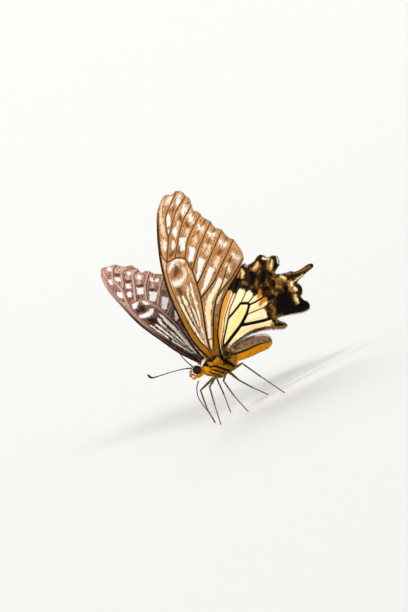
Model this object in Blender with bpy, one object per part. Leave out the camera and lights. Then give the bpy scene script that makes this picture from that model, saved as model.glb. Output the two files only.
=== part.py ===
"""Swallowtail butterfly, life size, standing with its wings raised.

The body is built in its own axes, in metres from the middle of the thorax: x to the animal's left,
y to its rear, z up. An empty then pitches and leans it into its pose and lifts it over the floor.
The legs and the sucking tube are built in the floor's axes, under a second empty.
"""
import math

import bmesh
import bpy
import numpy as np
from mathutils import Vector, geometry

for ob in list(bpy.data.objects):
    bpy.data.objects.remove(ob)

MM = 0.001

# Pose
PITCH = math.radians(6.1)        # head held up
LEAN = math.radians(13.4)        # left side raised
HEIGHT = 14.4 * MM               # middle of the thorax over the floor
MIDDLE = (-10.352 * MM, 9.760 * MM)   # middle of the whole animal, seen from the thorax

# Wings
WING_THICKNESS = 0.5 * MM
VEIN_HEIGHT = 0.13 * MM          # a vein's ridge over the membrane, on each face
VEIN_HALF_WIDTH = 0.45
FORE_SPREAD = math.radians(24.5)  # from the body's upright plane
HIND_SPREAD = math.radians(25.5)
FORE_HINGE = (2.6, -2.3, 3.3)
HIND_HINGE = (3.7, 1.0, 2.7)
TIP_SPAN = 47.0
TIP_BEND = 4.0                   # outward bow of a wing at its tip
FAR_HIND_TURN = math.radians(12.0)    # the right hindwing is drawn forward
GAP = 0.3 * MM                   # between neighbours

# Outlines and veins in a wing's own plane, in millimetres: span from the hinge, distance to the rear
FORE_OUTLINE = [
    (-1.8, -1.2), (0.0, -1.7), (2.0, -3.0), (5.0, -4.8), (8.5, -6.2), (12.0, -7.3), (16.0, -8.3),
    (20.0, -8.9), (25.0, -9.3), (30.0, -9.4), (35.0, -9.1), (38.0, -8.7), (40.5, -8.2), (43.0, -7.4),
    (45.0, -6.3), (46.5, -4.9), (47.4, -3.1), (47.6, -1.0), (46.9, 0.9),
    (45.3, 2.4), (43.4, 3.0), (41.6, 3.3), (40.0, 4.4), (38.7, 5.9), (37.2, 6.9), (35.6, 8.7),
    (34.0, 9.6), (32.4, 11.8), (30.6, 12.9), (28.7, 14.7), (26.8, 15.8), (24.6, 16.8), (22.9, 16.7),
    (21.4, 15.8), (17.0, 12.6), (12.0, 9.4), (7.0, 6.4), (3.0, 3.9), (0.0, 2.5), (-1.8, 1.6),
]
HIND_OUTLINE = [
    (-2.2, -1.0), (0.0, -1.1), (3.0, -0.7), (7.8, 0.5), (12.6, 3.0), (17.1, 6.6), (19.8, 9.8),
    (21.7, 12.4), (20.7, 13.4), (21.2, 15.6), (22.4, 17.6), (22.3, 19.0), (20.9, 20.3), (21.0, 22.4),
    (19.9, 23.7), (17.9, 23.3), (16.2, 21.4), (15.3, 23.0), (14.9, 26.0), (14.9, 29.5), (15.4, 32.6),
    (15.3, 34.3), (14.1, 34.3), (12.9, 31.8), (11.9, 28.9), (11.0, 27.6), (9.8, 28.9), (8.4, 29.0),
    (7.2, 28.2), (5.9, 28.9), (4.7, 30.3), (3.2, 30.3), (2.8, 27.8), (3.3, 24.4), (3.6, 20.9),
    (3.6, 19.0), (2.3, 20.2), (1.2, 21.8), (0.4, 21.2), (0.6, 19.2), (1.6, 16.6), (2.3, 13.6),
    (2.4, 10.1), (1.6, 6.2), (0.4, 2.8), (-2.2, 1.3),
]
FORE_VEINS = {
    "subcosta": [(-1.2, -0.9), (2.0, -1.8), (6.0, -4.2), (10.0, -5.8), (14.0, -7.0), (20.0, -8.1),
                 (26.0, -8.7), (32.0, -9.0)],
    "radius": [(-1.2, -0.4), (2.0, -1.4), (6.0, -3.7), (10.0, -5.2), (14.0, -6.4), (20.0, -7.6),
               (26.0, -8.0), (29.0, -7.3)],
    "radius_2": [(29.0, -7.3), (31.0, -8.1), (37.0, -8.1), (43.0, -7.2)],
    "radius_fork": [(29.0, -7.3), (31.0, -6.8), (33.0, -6.2), (35.4, -5.5)],
    "radius_4": [(35.4, -5.5), (39.0, -5.4), (41.0, -5.1), (43.0, -4.0), (45.0, -2.5), (47.6, -0.5)],
    "radius_5": [(35.4, -5.5), (37.0, -4.4), (40.0, -2.8), (43.0, -0.7), (45.3, 2.3)],
    "media_1": [(29.4, -4.7), (33.0, -3.0), (36.5, -1.2), (39.5, 0.6), (42.0, 3.2)],
    "media_2": [(28.4, -1.5), (31.5, -0.2), (34.0, 1.2), (37.0, 3.8), (38.8, 5.8)],
    "media_3": [(24.3, -0.1), (28.0, 2.3), (31.0, 4.4), (33.0, 6.1), (35.6, 8.6)],
    "cell_end": [(29.0, -7.3), (29.1, -6.3), (29.4, -4.7), (29.2, -3.3), (28.4, -1.5)],
    "cubitus": [(-1.2, 0.0), (4.0, -0.2), (8.0, 0.0), (12.0, 0.4), (16.0, 0.8), (20.2, 0.5),
                (24.3, -0.1), (26.0, -0.8), (28.4, -1.5)],
    "cubitus_1": [(20.2, 0.5), (23.0, 3.3), (26.0, 6.0), (29.0, 8.6), (32.4, 11.7)],
    "cubitus_2": [(16.0, 0.8), (18.0, 3.9), (20.0, 6.7), (23.0, 9.4), (28.7, 14.6)],
    "anal": [(-1.2, 0.6), (0.5, 0.9), (3.0, 1.9), (9.0, 4.1), (14.5, 7.4), (19.0, 12.2), (22.9, 16.6)],
}
HIND_VEINS = {
    "subcosta": [(-1.4, -0.4), (0.5, -0.4), (4.0, 0.5), (8.0, 1.9), (12.0, 4.4), (16.0, 7.9), (20.9, 11.5)],
    "radius": [(1.0, -0.1), (3.0, 0.5), (5.0, 1.7), (8.3, 3.8)],
    "cell_front": [(8.3, 3.8), (9.5, 6.0), (11.2, 8.7)],
    "sector": [(8.3, 3.8), (10.5, 4.8), (13.0, 6.9), (16.5, 9.8), (20.9, 14.4)],
    "media_1": [(11.2, 8.7), (14.0, 11.4), (17.5, 14.8), (22.3, 18.4)],
    "media_2": [(10.6, 10.8), (11.7, 13.0), (15.8, 19.0), (20.2, 23.4)],
    "media_3": [(10.0, 11.3), (10.2, 13.8), (11.4, 19.5), (12.9, 25.0), (13.8, 29.0), (14.7, 34.2)],
    "cell_end": [(11.2, 8.7), (10.6, 10.8), (10.0, 11.3), (7.6, 9.8)],
    "cubitus": [(0.9, 0.4), (3.0, 3.7), (5.2, 7.2), (7.6, 9.8)],
    "cubitus_1": [(7.6, 9.8), (7.7, 13.0), (8.0, 18.0), (8.8, 24.0), (9.2, 28.9)],
    "cubitus_2": [(5.2, 7.2), (4.7, 11.0), (4.2, 16.0), (4.2, 26.0), (4.0, 30.2)],
    "anal": [(0.3, 1.6), (2.0, 6.2), (2.8, 10.0), (2.6, 14.0), (1.3, 21.4)],
}

# Body rings, in millimetres: distance to the rear, half width, half height, height of the middle
THORAX = [
    (-5.6, 1.2, 1.3, 0.3), (-5.0, 1.9, 2.0, 0.25), (-3.6, 2.6, 2.7, 0.15), (-1.8, 3.0, 3.1, 0.1),
    (0.2, 3.15, 3.3, 0.1), (2.2, 3.0, 3.2, 0.25), (3.8, 2.5, 2.8, 0.6), (4.8, 2.0, 2.2, 1.0),
    (5.1, 1.7, 1.9, 1.1),
]
ABDOMEN = [
    (5.4, 1.5, 1.6, 1.2), (6.2, 2.0, 2.2, 1.4), (8.0, 2.35, 2.6, 1.7), (10.5, 2.45, 2.75, 1.9),
    (13.0, 2.35, 2.6, 2.0), (15.2, 2.0, 2.2, 2.0), (16.8, 1.45, 1.6, 2.0), (17.6, 0.8, 0.9, 2.0),
]
HEAD = [
    (-9.3, 0.4, 0.6, 0.3), (-9.0, 0.8, 1.1, 0.35), (-8.5, 1.15, 1.5, 0.45), (-7.8, 1.4, 1.8, 0.5),
    (-7.1, 1.35, 1.7, 0.45), (-6.3, 1.05, 1.3, 0.35), (-5.9, 0.75, 0.9, 0.3),
]
EYE_MIDDLE = (1.20, -8.0, 0.7)
EYE_RADIUS = 1.27

# Legs, in millimetres over the floor's point under the thorax: hip, knee, ankle, foot
LEGS = {
    "fore_left": [(1.7, -3.4, 12.4), (5.0, -8.5, 10.7), (5.3, -9.6, 5.7), (6.0, -10.8, 0.0)],
    "fore_right": [(-0.6, -3.5, 11.9), (-4.2, -6.8, 10.2), (-4.9, -7.0, 5.2), (-6.0, -6.1, 0.0)],
    "mid_left": [(2.2, -0.4, 12.1), (5.5, -4.0, 10.4), (7.2, -3.9, 5.6), (9.2, -3.0, 0.0)],
    "mid_right": [(-1.0, -0.5, 11.3), (-6.2, 0.5, 11.2), (-9.0, 1.9, 5.8), (-12.0, 3.0, 0.0)],
    "hind_left": [(2.1, 2.3, 11.9), (7.5, 2.6, 12.6), (9.0, 5.4, 7.0), (10.5, 9.3, 0.0)],
    "hind_right": [(-0.9, 2.3, 11.2), (-4.6, 5.9, 7.7), (-6.1, 9.6, 4.0), (-8.0, 14.2, 0.0)],
}
FEMUR_RADII = (0.50, 0.36)
TIBIA_RADII = (0.34, 0.27)
TARSUS_RADII = (0.25, 0.32)

# Feelers, palps and sucking tube, in millimetres, with a radius for each point
ANTENNA_LEFT = [
    (0.5, -8.3, 2.1), (1.6, -9.8, 3.6), (3.2, -11.4, 5.3), (5.6, -13.2, 7.6), (7.6, -14.6, 9.2),
    (8.4, -15.1, 9.9), (9.0, -15.3, 10.5),
]
ANTENNA_RIGHT = [
    (-0.5, -8.3, 2.1), (-1.7, -10.2, 2.9), (-3.4, -12.4, 3.6), (-5.4, -14.9, 4.2), (-7.0, -17.0, 4.7),
    (-7.6, -17.6, 5.3), (-7.9, -17.8, 6.3),
]
ANTENNA_RADII = [0.30, 0.26, 0.25, 0.25, 0.30, 0.42, 0.20]
PALP_LEFT = [(0.55, -8.7, -1.15), (0.60, -9.3, -0.95), (0.62, -9.8, -0.35), (0.60, -9.95, 0.3)]
PALP_RADII = [0.30, 0.38, 0.36, 0.20]
PROBOSCIS = [
    (0.3, -8.4, 13.2), (0.7, -9.9, 11.9), (0.9, -10.9, 9.8), (0.5, -10.6, 7.4), (0.2, -9.8, 4.6),
    (0.1, -9.2, 2.2), (0.1, -9.0, 0.9),
]
PROBOSCIS_RADII = [0.30, 0.28, 0.27, 0.26, 0.26, 0.25, 0.22]

# Colours
OCHRE = (0.45, 0.30, 0.08)
ORANGE = (0.75, 0.45, 0.12)
HORN = (0.22, 0.13, 0.05)
DARK = (0.05, 0.035, 0.025)
EYE = (0.02, 0.015, 0.012)
FORE_BROWN = (0.42, 0.30, 0.18)
HIND_YELLOW = (0.60, 0.48, 0.22)

parts = bpy.data.collections.new("swallowtail_butterfly")
cutters = bpy.data.collections.new("cutters")
for group in (parts, cutters):
    bpy.context.scene.collection.children.link(group)
cutters.hide_render = True

ground = bpy.data.objects.new("ground", None)
ground.location = (-MIDDLE[0], -MIDDLE[1], 0)
body = bpy.data.objects.new("body_pose", None)
body.location = (-MIDDLE[0], -MIDDLE[1], HEIGHT)
body.rotation_mode = 'YXZ'
body.rotation_euler = (-PITCH, -LEAN, 0)
for empty in (ground, body):
    bpy.context.scene.collection.objects.link(empty)


def add(name, bm, colour, parent):
    """One closed piece from a bmesh, with its own material; a piece with no colour is a cutter."""
    bmesh.ops.recalc_face_normals(bm, faces=bm.faces)
    mesh = bpy.data.meshes.new(name)
    bm.to_mesh(mesh)
    bm.free()
    mesh.shade_smooth()
    mesh.set_sharp_from_angle(angle=math.radians(40))
    ob = bpy.data.objects.new(name, mesh)
    ob.parent = parent
    if colour is None:
        cutters.objects.link(ob)
        ob.hide_render = True
        ob.display_type = 'WIRE'
        return ob
    parts.objects.link(ob)
    mat = bpy.data.materials.new(name)
    mat.use_nodes = True
    shader = mat.node_tree.nodes["Principled BSDF"]
    shader.inputs["Base Color"].default_value = (*colour, 1)
    shader.inputs["Roughness"].default_value = 0.1 if colour == EYE else 0.6
    mesh.materials.append(mat)
    return ob


def cut(ob, cutter):
    mod = ob.modifiers.new("cut_by_" + cutter.name, 'BOOLEAN')
    mod.operation = 'DIFFERENCE'
    mod.solver = 'EXACT'
    mod.object = cutter


def loft(name, table, colour=None, sides=24, grow=0.0):
    """Skin over elliptical rings set across the body; a cutter is grown outward by the gap."""
    bm = bmesh.new()
    rings = []
    for i, (y, a, b, z) in enumerate(table):
        y = y * MM + grow * ((i == len(table) - 1) - (i == 0))
        turns = (2 * math.pi * k / sides for k in range(sides))
        rings.append([bm.verts.new(((a * MM + grow) * math.cos(t), y, z * MM + (b * MM + grow) * math.sin(t)))
                      for t in turns])
    for near, far in zip(rings, rings[1:]):
        for k in range(sides):
            bm.faces.new((near[k], near[(k + 1) % sides], far[(k + 1) % sides], far[k]))
    bm.faces.new(rings[0])
    bm.faces.new(rings[-1])
    return add(name, bm, colour, body)


def smooth_run(points, spacing):
    """Catmull-Rom curve through the points, with a step of about the spacing."""
    pts = [np.array(p, float) for p in points]
    ends = [2 * pts[0] - pts[1]] + pts + [2 * pts[-1] - pts[-2]]
    out = []
    for i in range(1, len(ends) - 2):
        a, b, c, d = ends[i - 1:i + 3]
        steps = max(1, round(float(np.linalg.norm(c - b)) / spacing))
        for k in range(steps):
            t = k / steps
            out.append((0.5 * (2 * b + (c - a) * t + (2 * a - 5 * b + 4 * c - d) * t * t
                               + (3 * b - a - 3 * c + d) * t * t * t), i - 1 + t))
    out.append((pts[-1], len(pts) - 1))
    return out


def bar(name, points, radii, colour, parent, spacing=0.6):
    """Curved round bar with its own radius at each point."""
    curve = bpy.data.curves.new(name, 'CURVE')
    curve.dimensions = '3D'
    curve.bevel_depth = 1.0
    curve.bevel_resolution = 2
    curve.use_fill_caps = True
    run = smooth_run(points, spacing)
    line = curve.splines.new('POLY')
    line.points.add(len(run) - 1)
    for knot, (p, at) in zip(line.points, run):
        knot.co = (*(p * MM), 1)
        knot.radius = float(np.interp(at, range(len(radii)), radii)) * MM
    guide = bpy.data.objects.new(name + "_curve", curve)
    bpy.context.scene.collection.objects.link(guide)
    mesh = bpy.data.meshes.new_from_object(guide.evaluated_get(bpy.context.evaluated_depsgraph_get()))
    bpy.data.objects.remove(guide)
    bm = bmesh.new()
    bm.from_mesh(mesh)
    bmesh.ops.remove_doubles(bm, verts=bm.verts, dist=0.01 * MM)
    return add(name, bm, colour, parent)


def limb(name, start, end, radii, colour):
    """Straight tapered leg segment between two points of the floor's axes."""
    start, end = Vector(start), Vector(end)
    bm = bmesh.new()
    bmesh.ops.create_cone(bm, cap_ends=True, segments=10, radius1=radii[0] * MM, radius2=radii[1] * MM,
                          depth=(end - start).length * MM)
    ob = add(name, bm, colour, ground)
    ob.location = (start + end) / 2 * MM
    ob.rotation_mode = 'QUATERNION'
    ob.rotation_quaternion = (end - start).to_track_quat('Z', 'X')
    return ob


# Thorax, abdomen and head, and the grown copies that keep their neighbours clear
thorax_cutter = loft("thorax_cutter", THORAX, grow=GAP)
head_cutter = loft("head_cutter", HEAD, sides=20, grow=GAP)
loft("thorax", THORAX, OCHRE)
loft("abdomen", ABDOMEN, ORANGE)
loft("head", HEAD, OCHRE, sides=20)

# Eyes, let into the sides of the head
for side, sign in (("left", 1), ("right", -1)):
    bm = bmesh.new()
    bmesh.ops.create_uvsphere(bm, u_segments=20, v_segments=12, radius=EYE_RADIUS * MM)
    eye = add("eye_" + side, bm, EYE, body)
    eye.location = (sign * EYE_MIDDLE[0] * MM, EYE_MIDDLE[1] * MM, EYE_MIDDLE[2] * MM)
    cut(eye, head_cutter)

# Feelers, palps and sucking tube
for side, feeler, sign in (("left", ANTENNA_LEFT, 1), ("right", ANTENNA_RIGHT, -1)):
    cut(bar("antenna_" + side, feeler, ANTENNA_RADII, DARK, body, 0.9), head_cutter)
    palp = [(sign * x, y, z) for x, y, z in PALP_LEFT]
    cut(bar("palp_" + side, palp, PALP_RADII, ORANGE, body, 0.3), head_cutter)
cut(bar("proboscis", PROBOSCIS, PROBOSCIS_RADII, DARK, ground, 0.9), head_cutter)

# Legs: the last segment runs into the floor, whose cutter leaves a small flat on it
bm = bmesh.new()
bmesh.ops.create_cube(bm, size=0.08)
floor_cutter = add("floor_cutter", bm, None, ground)
floor_cutter.location = (0, 0, -0.04)
for leg, joints in LEGS.items():
    hip, knee, ankle, foot = (Vector(p) for p in joints)
    thigh = (knee - hip).normalized()
    shin = (ankle - knee).normalized()
    toe = (foot - ankle).normalized()
    cut(limb("femur_" + leg, hip, knee - thigh * 0.45, FEMUR_RADII, HORN), thorax_cutter)
    limb("tibia_" + leg, knee + shin * 0.2, ankle - shin * 0.3, TIBIA_RADII, HORN)
    cut(limb("tarsus_" + leg, ankle + toe * 0.25, foot + toe * 0.5, TARSUS_RADII, DARK), floor_cutter)


def wing_point(s, r, height, hinge, spread, sign, turn):
    """A point of a wing's face: span, distance to the rear, height over its middle surface."""
    s, r = s * math.cos(turn) + r * math.sin(turn), r * math.cos(turn) - s * math.sin(turn)
    out = TIP_BEND * (s / TIP_SPAN) ** 2 + height / MM
    return (sign * (hinge[0] + s * math.sin(spread) + out * math.cos(spread)) * MM,
            (hinge[1] + r) * MM,
            (hinge[2] + s * math.cos(spread) - out * math.sin(spread)) * MM)


def inside(p, rim):
    hit = False
    for (x1, y1), (x2, y2) in zip(rim, np.roll(rim, -1, axis=0)):
        if (y1 > p[1]) != (y2 > p[1]) and p[0] < (x2 - x1) * (p[1] - y1) / (y2 - y1) + x1:
            hit = not hit
    return hit


def nearest(p, lines):
    """Distance from a point to the nearest of some runs of points."""
    best = 1e9
    for line in lines:
        a, d = line[:-1], line[1:] - line[:-1]
        t = np.clip(((p - a) * d).sum(1) / np.maximum((d * d).sum(1), 1e-9), 0, 1)
        best = min(best, float(np.sqrt(((a + d * t[:, None] - p) ** 2).sum(1)).min()))
    return best


def wing(name, outline, veins, hinge, spread, sign, turn, colour):
    """Membrane whose veins are ridges raised in both faces, with the same triangles on each face."""
    rim = np.array([p for p, _ in smooth_run(outline + outline[:1], 1.6)[:-1]])
    edge = [np.vstack([rim, rim[:1]])]
    lines = [np.array([p for p, _ in smooth_run(v, 1.6)]) for v in veins.values()]
    points = list(rim)
    edges = [(i, (i + 1) % len(rim)) for i in range(len(rim))]
    for line in lines:
        edges += [(len(points) + i, len(points) + i + 1) for i in range(len(line) - 1)]
        points += list(line)
    for line in lines:
        along = np.gradient(line, axis=0)
        across = np.stack([-along[:, 1], along[:, 0]], 1) / np.linalg.norm(along, axis=1)[:, None]
        for q in (VEIN_HALF_WIDTH, -VEIN_HALF_WIDTH):
            points += [p for p in line + q * across
                       if nearest(p, lines) > 0.9 * VEIN_HALF_WIDTH and inside(p, rim) and nearest(p, edge) > 0.3]
    for s in np.arange(-1.0, TIP_SPAN + 1, 2.6):
        for r in np.arange(-10.0, 36.0, 2.6):
            p = np.array((s, r))
            if inside(p, rim) and nearest(p, edge) > 0.9 and nearest(p, lines) > 1.2:
                points.append(p)
    flat, _, tris, _, _, _ = geometry.delaunay_2d_cdt([Vector(p) for p in points], edges, [], 1, 1e-3)
    used = sorted({i for t in tris for i in t})
    heights = {i: WING_THICKNESS / 2 + VEIN_HEIGHT * max(0.0, 1 - nearest(np.array(flat[i]), lines)
                                                        / VEIN_HALF_WIDTH) for i in used}
    bm = bmesh.new()
    faces = {}
    for face in (1, -1):
        faces[face] = {i: bm.verts.new(wing_point(*flat[i], face * heights[i], hinge, spread, sign, turn))
                       for i in used}
    borders = {}
    for a, b, c in tris:
        bm.faces.new([faces[1][i] for i in (a, b, c)])
        bm.faces.new([faces[-1][i] for i in (c, b, a)])
        for pair in ((a, b), (b, c), (c, a)):
            borders[frozenset(pair)] = None if frozenset(pair) in borders else pair
    for pair in borders.values():
        if pair is not None:
            a, b = pair
            bm.faces.new((faces[1][b], faces[1][a], faces[-1][a], faces[-1][b]))
    cut(add(name, bm, colour, body), thorax_cutter)


for side, sign in (("left", 1), ("right", -1)):
    wing("forewing_" + side, FORE_OUTLINE, FORE_VEINS, FORE_HINGE, FORE_SPREAD, sign, 0.0, FORE_BROWN)
    wing("hindwing_" + side, HIND_OUTLINE, HIND_VEINS, HIND_HINGE, HIND_SPREAD, sign,
         FAR_HIND_TURN if sign < 0 else 0.0, HIND_YELLOW)
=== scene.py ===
"""Looks of the swallowtail butterfly: wings, body, coat, legs and feelers of the life-size model.

The animal's own sizes are in millimetres; MM turns them into the frame's metres.
"""
import math

import bpy
import numpy as np
from mathutils import Euler, Matrix, Vector, geometry


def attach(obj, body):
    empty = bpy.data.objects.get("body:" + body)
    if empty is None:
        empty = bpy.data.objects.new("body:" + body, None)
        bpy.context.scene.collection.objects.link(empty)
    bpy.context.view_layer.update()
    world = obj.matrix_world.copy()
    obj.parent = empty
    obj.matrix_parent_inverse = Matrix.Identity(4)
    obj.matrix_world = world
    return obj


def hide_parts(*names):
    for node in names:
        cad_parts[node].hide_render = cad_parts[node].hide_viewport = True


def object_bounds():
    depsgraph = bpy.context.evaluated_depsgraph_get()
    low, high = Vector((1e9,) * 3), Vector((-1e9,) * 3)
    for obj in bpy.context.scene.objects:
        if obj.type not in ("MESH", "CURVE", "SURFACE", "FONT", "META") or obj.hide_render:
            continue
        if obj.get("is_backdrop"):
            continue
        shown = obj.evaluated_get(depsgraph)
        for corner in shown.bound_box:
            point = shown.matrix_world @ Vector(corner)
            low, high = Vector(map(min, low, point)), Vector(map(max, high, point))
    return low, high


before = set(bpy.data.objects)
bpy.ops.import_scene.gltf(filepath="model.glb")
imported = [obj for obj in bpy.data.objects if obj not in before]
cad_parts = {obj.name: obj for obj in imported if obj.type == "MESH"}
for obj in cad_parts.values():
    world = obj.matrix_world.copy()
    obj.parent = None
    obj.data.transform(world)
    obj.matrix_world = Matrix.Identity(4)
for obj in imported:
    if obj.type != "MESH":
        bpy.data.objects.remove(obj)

cad_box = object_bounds()

# Pose: the body's own axes have x to the animal's left, y to its rear and z up, from the middle of
# the thorax. The whole animal is pitched and leaned over the floor, as its solids are.
MM = 0.001
PITCH = math.radians(6.1)
LEAN = math.radians(13.4)
THORAX = np.array((10.352, -9.760, 14.4))
AXES = np.array(Euler((-PITCH, -LEAN, 0), 'YXZ').to_matrix())


def placed(points):
    """Points in the body's axes to the frame."""
    return (np.asarray(points) @ AXES.T + THORAX) * MM


# Forewings: a thin membrane between raised veins, covered in rows of tiny scales. The plan is drawn in
# the wing's own plane, span from the hinge and distance to the rear, then bowed and spread. The two
# faces share the drawing but not the colours: brown and cream below, mauve brown and white above.
def smooth_run(points, spacing):
    """Curve through rows of numbers, such as a place and a radius, with a step of about the spacing."""
    rows = np.asarray(points, float)
    ends = np.vstack([2 * rows[0] - rows[1], rows, 2 * rows[-1] - rows[-2]])
    out = []
    for a, b, c, d in zip(ends, ends[1:], ends[2:], ends[3:]):
        steps = max(1, round(float(np.linalg.norm((c - b)[:3])) / spacing))
        t = np.arange(steps)[:, None] / steps
        out.append(0.5 * (2 * b + (c - a) * t + (2 * a - 5 * b + 4 * c - d) * t ** 2
                          + (3 * b - a - 3 * c + d) * t ** 3))
    return np.vstack(out + [rows[-1:]])


def length_along(run):
    """The length along a run of points, up to each of them."""
    return np.append(0, np.cumsum(np.linalg.norm(np.diff(run, axis=0), axis=1)))


def depth(at, strokes, spacing=0.6):
    """How far each point lies inside the strokes, each a run of (x, y, radius); outside is negative."""
    best = np.full(len(at), -9.0)
    for stroke in strokes:
        run = smooth_run(stroke, spacing)
        for a, b in zip(run, run[1:]):
            step = b - a
            t = np.clip(((at - a[:2]) @ step[:2]) / max(step[:2] @ step[:2], 1e-9), 0, 1)
            gap = np.linalg.norm(at - a[:2] - t[:, None] * step[:2], axis=1)
            best = np.maximum(best, a[2] + t * step[2] - gap)
    return best


def solid(name, points, faces, *finishes):
    """A smooth mesh of points in the frame's metres."""
    mesh = bpy.data.meshes.new(name)
    mesh.from_pydata(points.tolist(), [], faces)
    for finish in finishes:
        mesh.materials.append(finish)
    mesh.shade_smooth()
    return mesh


def show(name, mesh, slot, *replaced):
    """Puts a finished mesh into the scene, riding on the animal's one body."""
    ob = bpy.data.objects.new(name, mesh)
    bpy.context.scene.collection.objects.link(ob)
    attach(ob, "root")
    if replaced:
        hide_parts(*replaced)


def paint_fields(mesh, fields):
    """Keeps a number, or a vector, for each vertex under its name."""
    for name, values in fields.items():
        values = np.asarray(values, np.float32)
        kind, part = ('FLOAT_VECTOR', "vector") if values.ndim == 2 else ('FLOAT', "value")
        mesh.attributes.new(name, kind, 'POINT').data.foreach_set(part, values.ravel())


def corners_of(mesh):
    """The vertex at each corner of each face."""
    found = np.zeros(len(mesh.loops), np.int32)
    mesh.loops.foreach_get("vertex_index", found)
    return found


def lay_flat(mesh, name, at):
    """Keeps an unwrap, a place for each corner of each face."""
    mesh.uv_layers.new(name=name).data.foreach_set("uv", np.asarray(at, np.float32).ravel())


class Ink:
    """A socket as a value: an expression on it adds the Math nodes that it needs."""

    def __init__(self, graph, socket):
        self.graph = graph
        self.socket = socket

    def math(self, operation, *values, clamp=False):
        settings = {"operation": operation, "use_clamp": clamp}
        return self.graph.node("ShaderNodeMath", settings, dict(enumerate(values)))

    def __add__(self, other):
        return self.math('ADD', self, other)

    def __sub__(self, other):
        return self.math('SUBTRACT', self, other)

    def __rsub__(self, other):
        return self.math('SUBTRACT', other, self)

    def __mul__(self, other):
        return self.math('MULTIPLY', self, other)

    __radd__ = __add__
    __rmul__ = __mul__

    def edge(self, soft):
        """0 outside a field and 1 inside it, with a border of about that softness."""
        return self.math('MULTIPLY_ADD', self, 1 / soft, 0.5, clamp=True)


class Graph:
    """A node tree. node() adds any node: its settings come first, then its sockets' values or links."""

    def __init__(self, tree):
        self.tree = tree

    def put(self, socket, value):
        """Links a value to a socket or sets it there. A colour is given as on paper, 0 to 255."""
        if isinstance(value, Ink):
            self.tree.links.new(value.socket, socket)
        elif socket.type == 'RGBA':
            socket.default_value = (*(((c / 255 + 0.055) / 1.055) ** 2.4 for c in value), 1)
        else:
            socket.default_value = value

    def node(self, kind, settings=None, sockets=None, out=0):
        made = self.tree.nodes.new(kind)
        for name, value in (settings or {}).items():
            setattr(made, name, value)
        for name, value in (sockets or {}).items():
            self.put(made.inputs[name], value)
        return Ink(self, made.outputs[out])


class Finish(Graph):
    """A material: colours laid one over another, and a fine relief."""

    def __init__(self, name):
        self.material = bpy.data.materials.new(name)
        self.material.use_nodes = True
        super().__init__(self.material.node_tree)
        self.at = self.scaled(self.node("ShaderNodeTexCoord", out="Object"), 1 / MM)
        self.colour = None

    def scaled(self, vector, amount):
        return self.node("ShaderNodeVectorMath", {"operation": 'SCALE'}, {0: vector, "Scale": amount})

    def stretched(self, at, *scale):
        return self.node("ShaderNodeMapping", None, {"Vector": at, "Scale": scale})

    def field(self, name, out="Fac"):
        return self.node("ShaderNodeAttribute", {"attribute_name": name}, out=out)

    def noise(self, scale, detail=2.0, at=None):
        sockets = {"Vector": at or self.at, "Scale": scale, "Detail": detail}
        return self.node("ShaderNodeTexNoise", None, sockets)

    def mix(self, factor, under, over):
        return self.node("ShaderNodeMix", {"data_type": 'RGBA'}, {0: factor, 6: under, 7: over}, out=2)

    def cover(self, share, over):
        """Lays a colour over what is there, by its share at each place."""
        self.colour = self.mix(share, self.colour, over)

    def mark(self, name, wobble, soft, over, share=None):
        """Lays a colour over the inside of a field, whose border wobbles and is soft."""
        within = (self.field(name) + wobble).edge(soft)
        self.cover(within if share is None else within * share, over)

    def scale_rows(self, across, along):
        """A number from 0 to 1 for each scale of a wing, with that many scales to a millimetre."""
        plan = self.node("ShaderNodeUVMap", {"uv_map": "plan"})
        rows = self.stretched(plan, PLAN_SIZE * across, PLAN_SIZE * along, 1.0)
        scale = self.node("ShaderNodeTexVoronoi", {"voronoi_dimensions": '2D'},
                          {"Vector": rows, "Scale": 1.0}, out="Color")
        return plan, self.node("ShaderNodeSeparateColor", None, {"Color": scale}, out="Red")

    def worn(self, light, relief, height, strength, roughness, gloss):
        """The finished material: its colour made lighter or darker, and its relief in millimetres."""
        bump = self.node("ShaderNodeBump", None,
                         {"Height": relief, "Distance": height * MM, "Strength": strength}, out="Normal")
        shader = self.tree.nodes["Principled BSDF"].inputs
        self.put(shader["Base Color"], self.scaled(self.colour, light))
        self.put(shader["Normal"], bump)
        self.put(shader["Roughness"], roughness)
        self.put(shader["Specular IOR Level"], gloss)
        return self.material


PLAN_SIZE = 60                   # the side of the square that a wing's unwrap fills
FORE_GRAIN = 0.26                # the distance between points of the wing's mesh
TIP_SPAN = 47.0
TIP_BEND = 4.0
MEMBRANE = 0.14
SHARP = math.radians(60)
FORE_SPREAD = math.radians(24.5)
FORE_HINGE = (2.6, -2.3, 3.3)
FORE_OUTLINE = [
    (-1.8, -1.2), (0, -2.2), (2.3, -3.7), (5.8, -5.4), (9, -6.4), (12.2, -7.2), (16, -8.2), (20, -9),
    (25, -9.4), (30, -9.4), (35, -9.1), (38, -8.7), (40.5, -8.2), (43, -7.5), (44.8, -6.6), (46.5, -5.5),
    (47.1, -4.6), (47.2, -3.7), (46.8, -2.6), (47, -1.5), (47.3, -0.2), (46.9, 0.9), (46, 1.9), (45.1, 2.3),
    (44.4, 3.1), (43.3, 3.5), (41.6, 3.6), (40.4, 3.9), (39.9, 5.1), (38.9, 5.9), (37.8, 6.4), (37, 7.4),
    (35.9, 8.7), (34.4, 9.3), (33.4, 10.4), (32.5, 11.8), (31, 12.6), (29.7, 13.6), (28.8, 14.8),
    (27.5, 15.6), (25.8, 16.3), (24.2, 16.8), (22.9, 16.7), (21.4, 15.8), (17, 12.6), (12, 9.4), (7, 6.4),
    (3, 3.9), (0, 2.5), (-1.8, 1.6),
]
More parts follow.
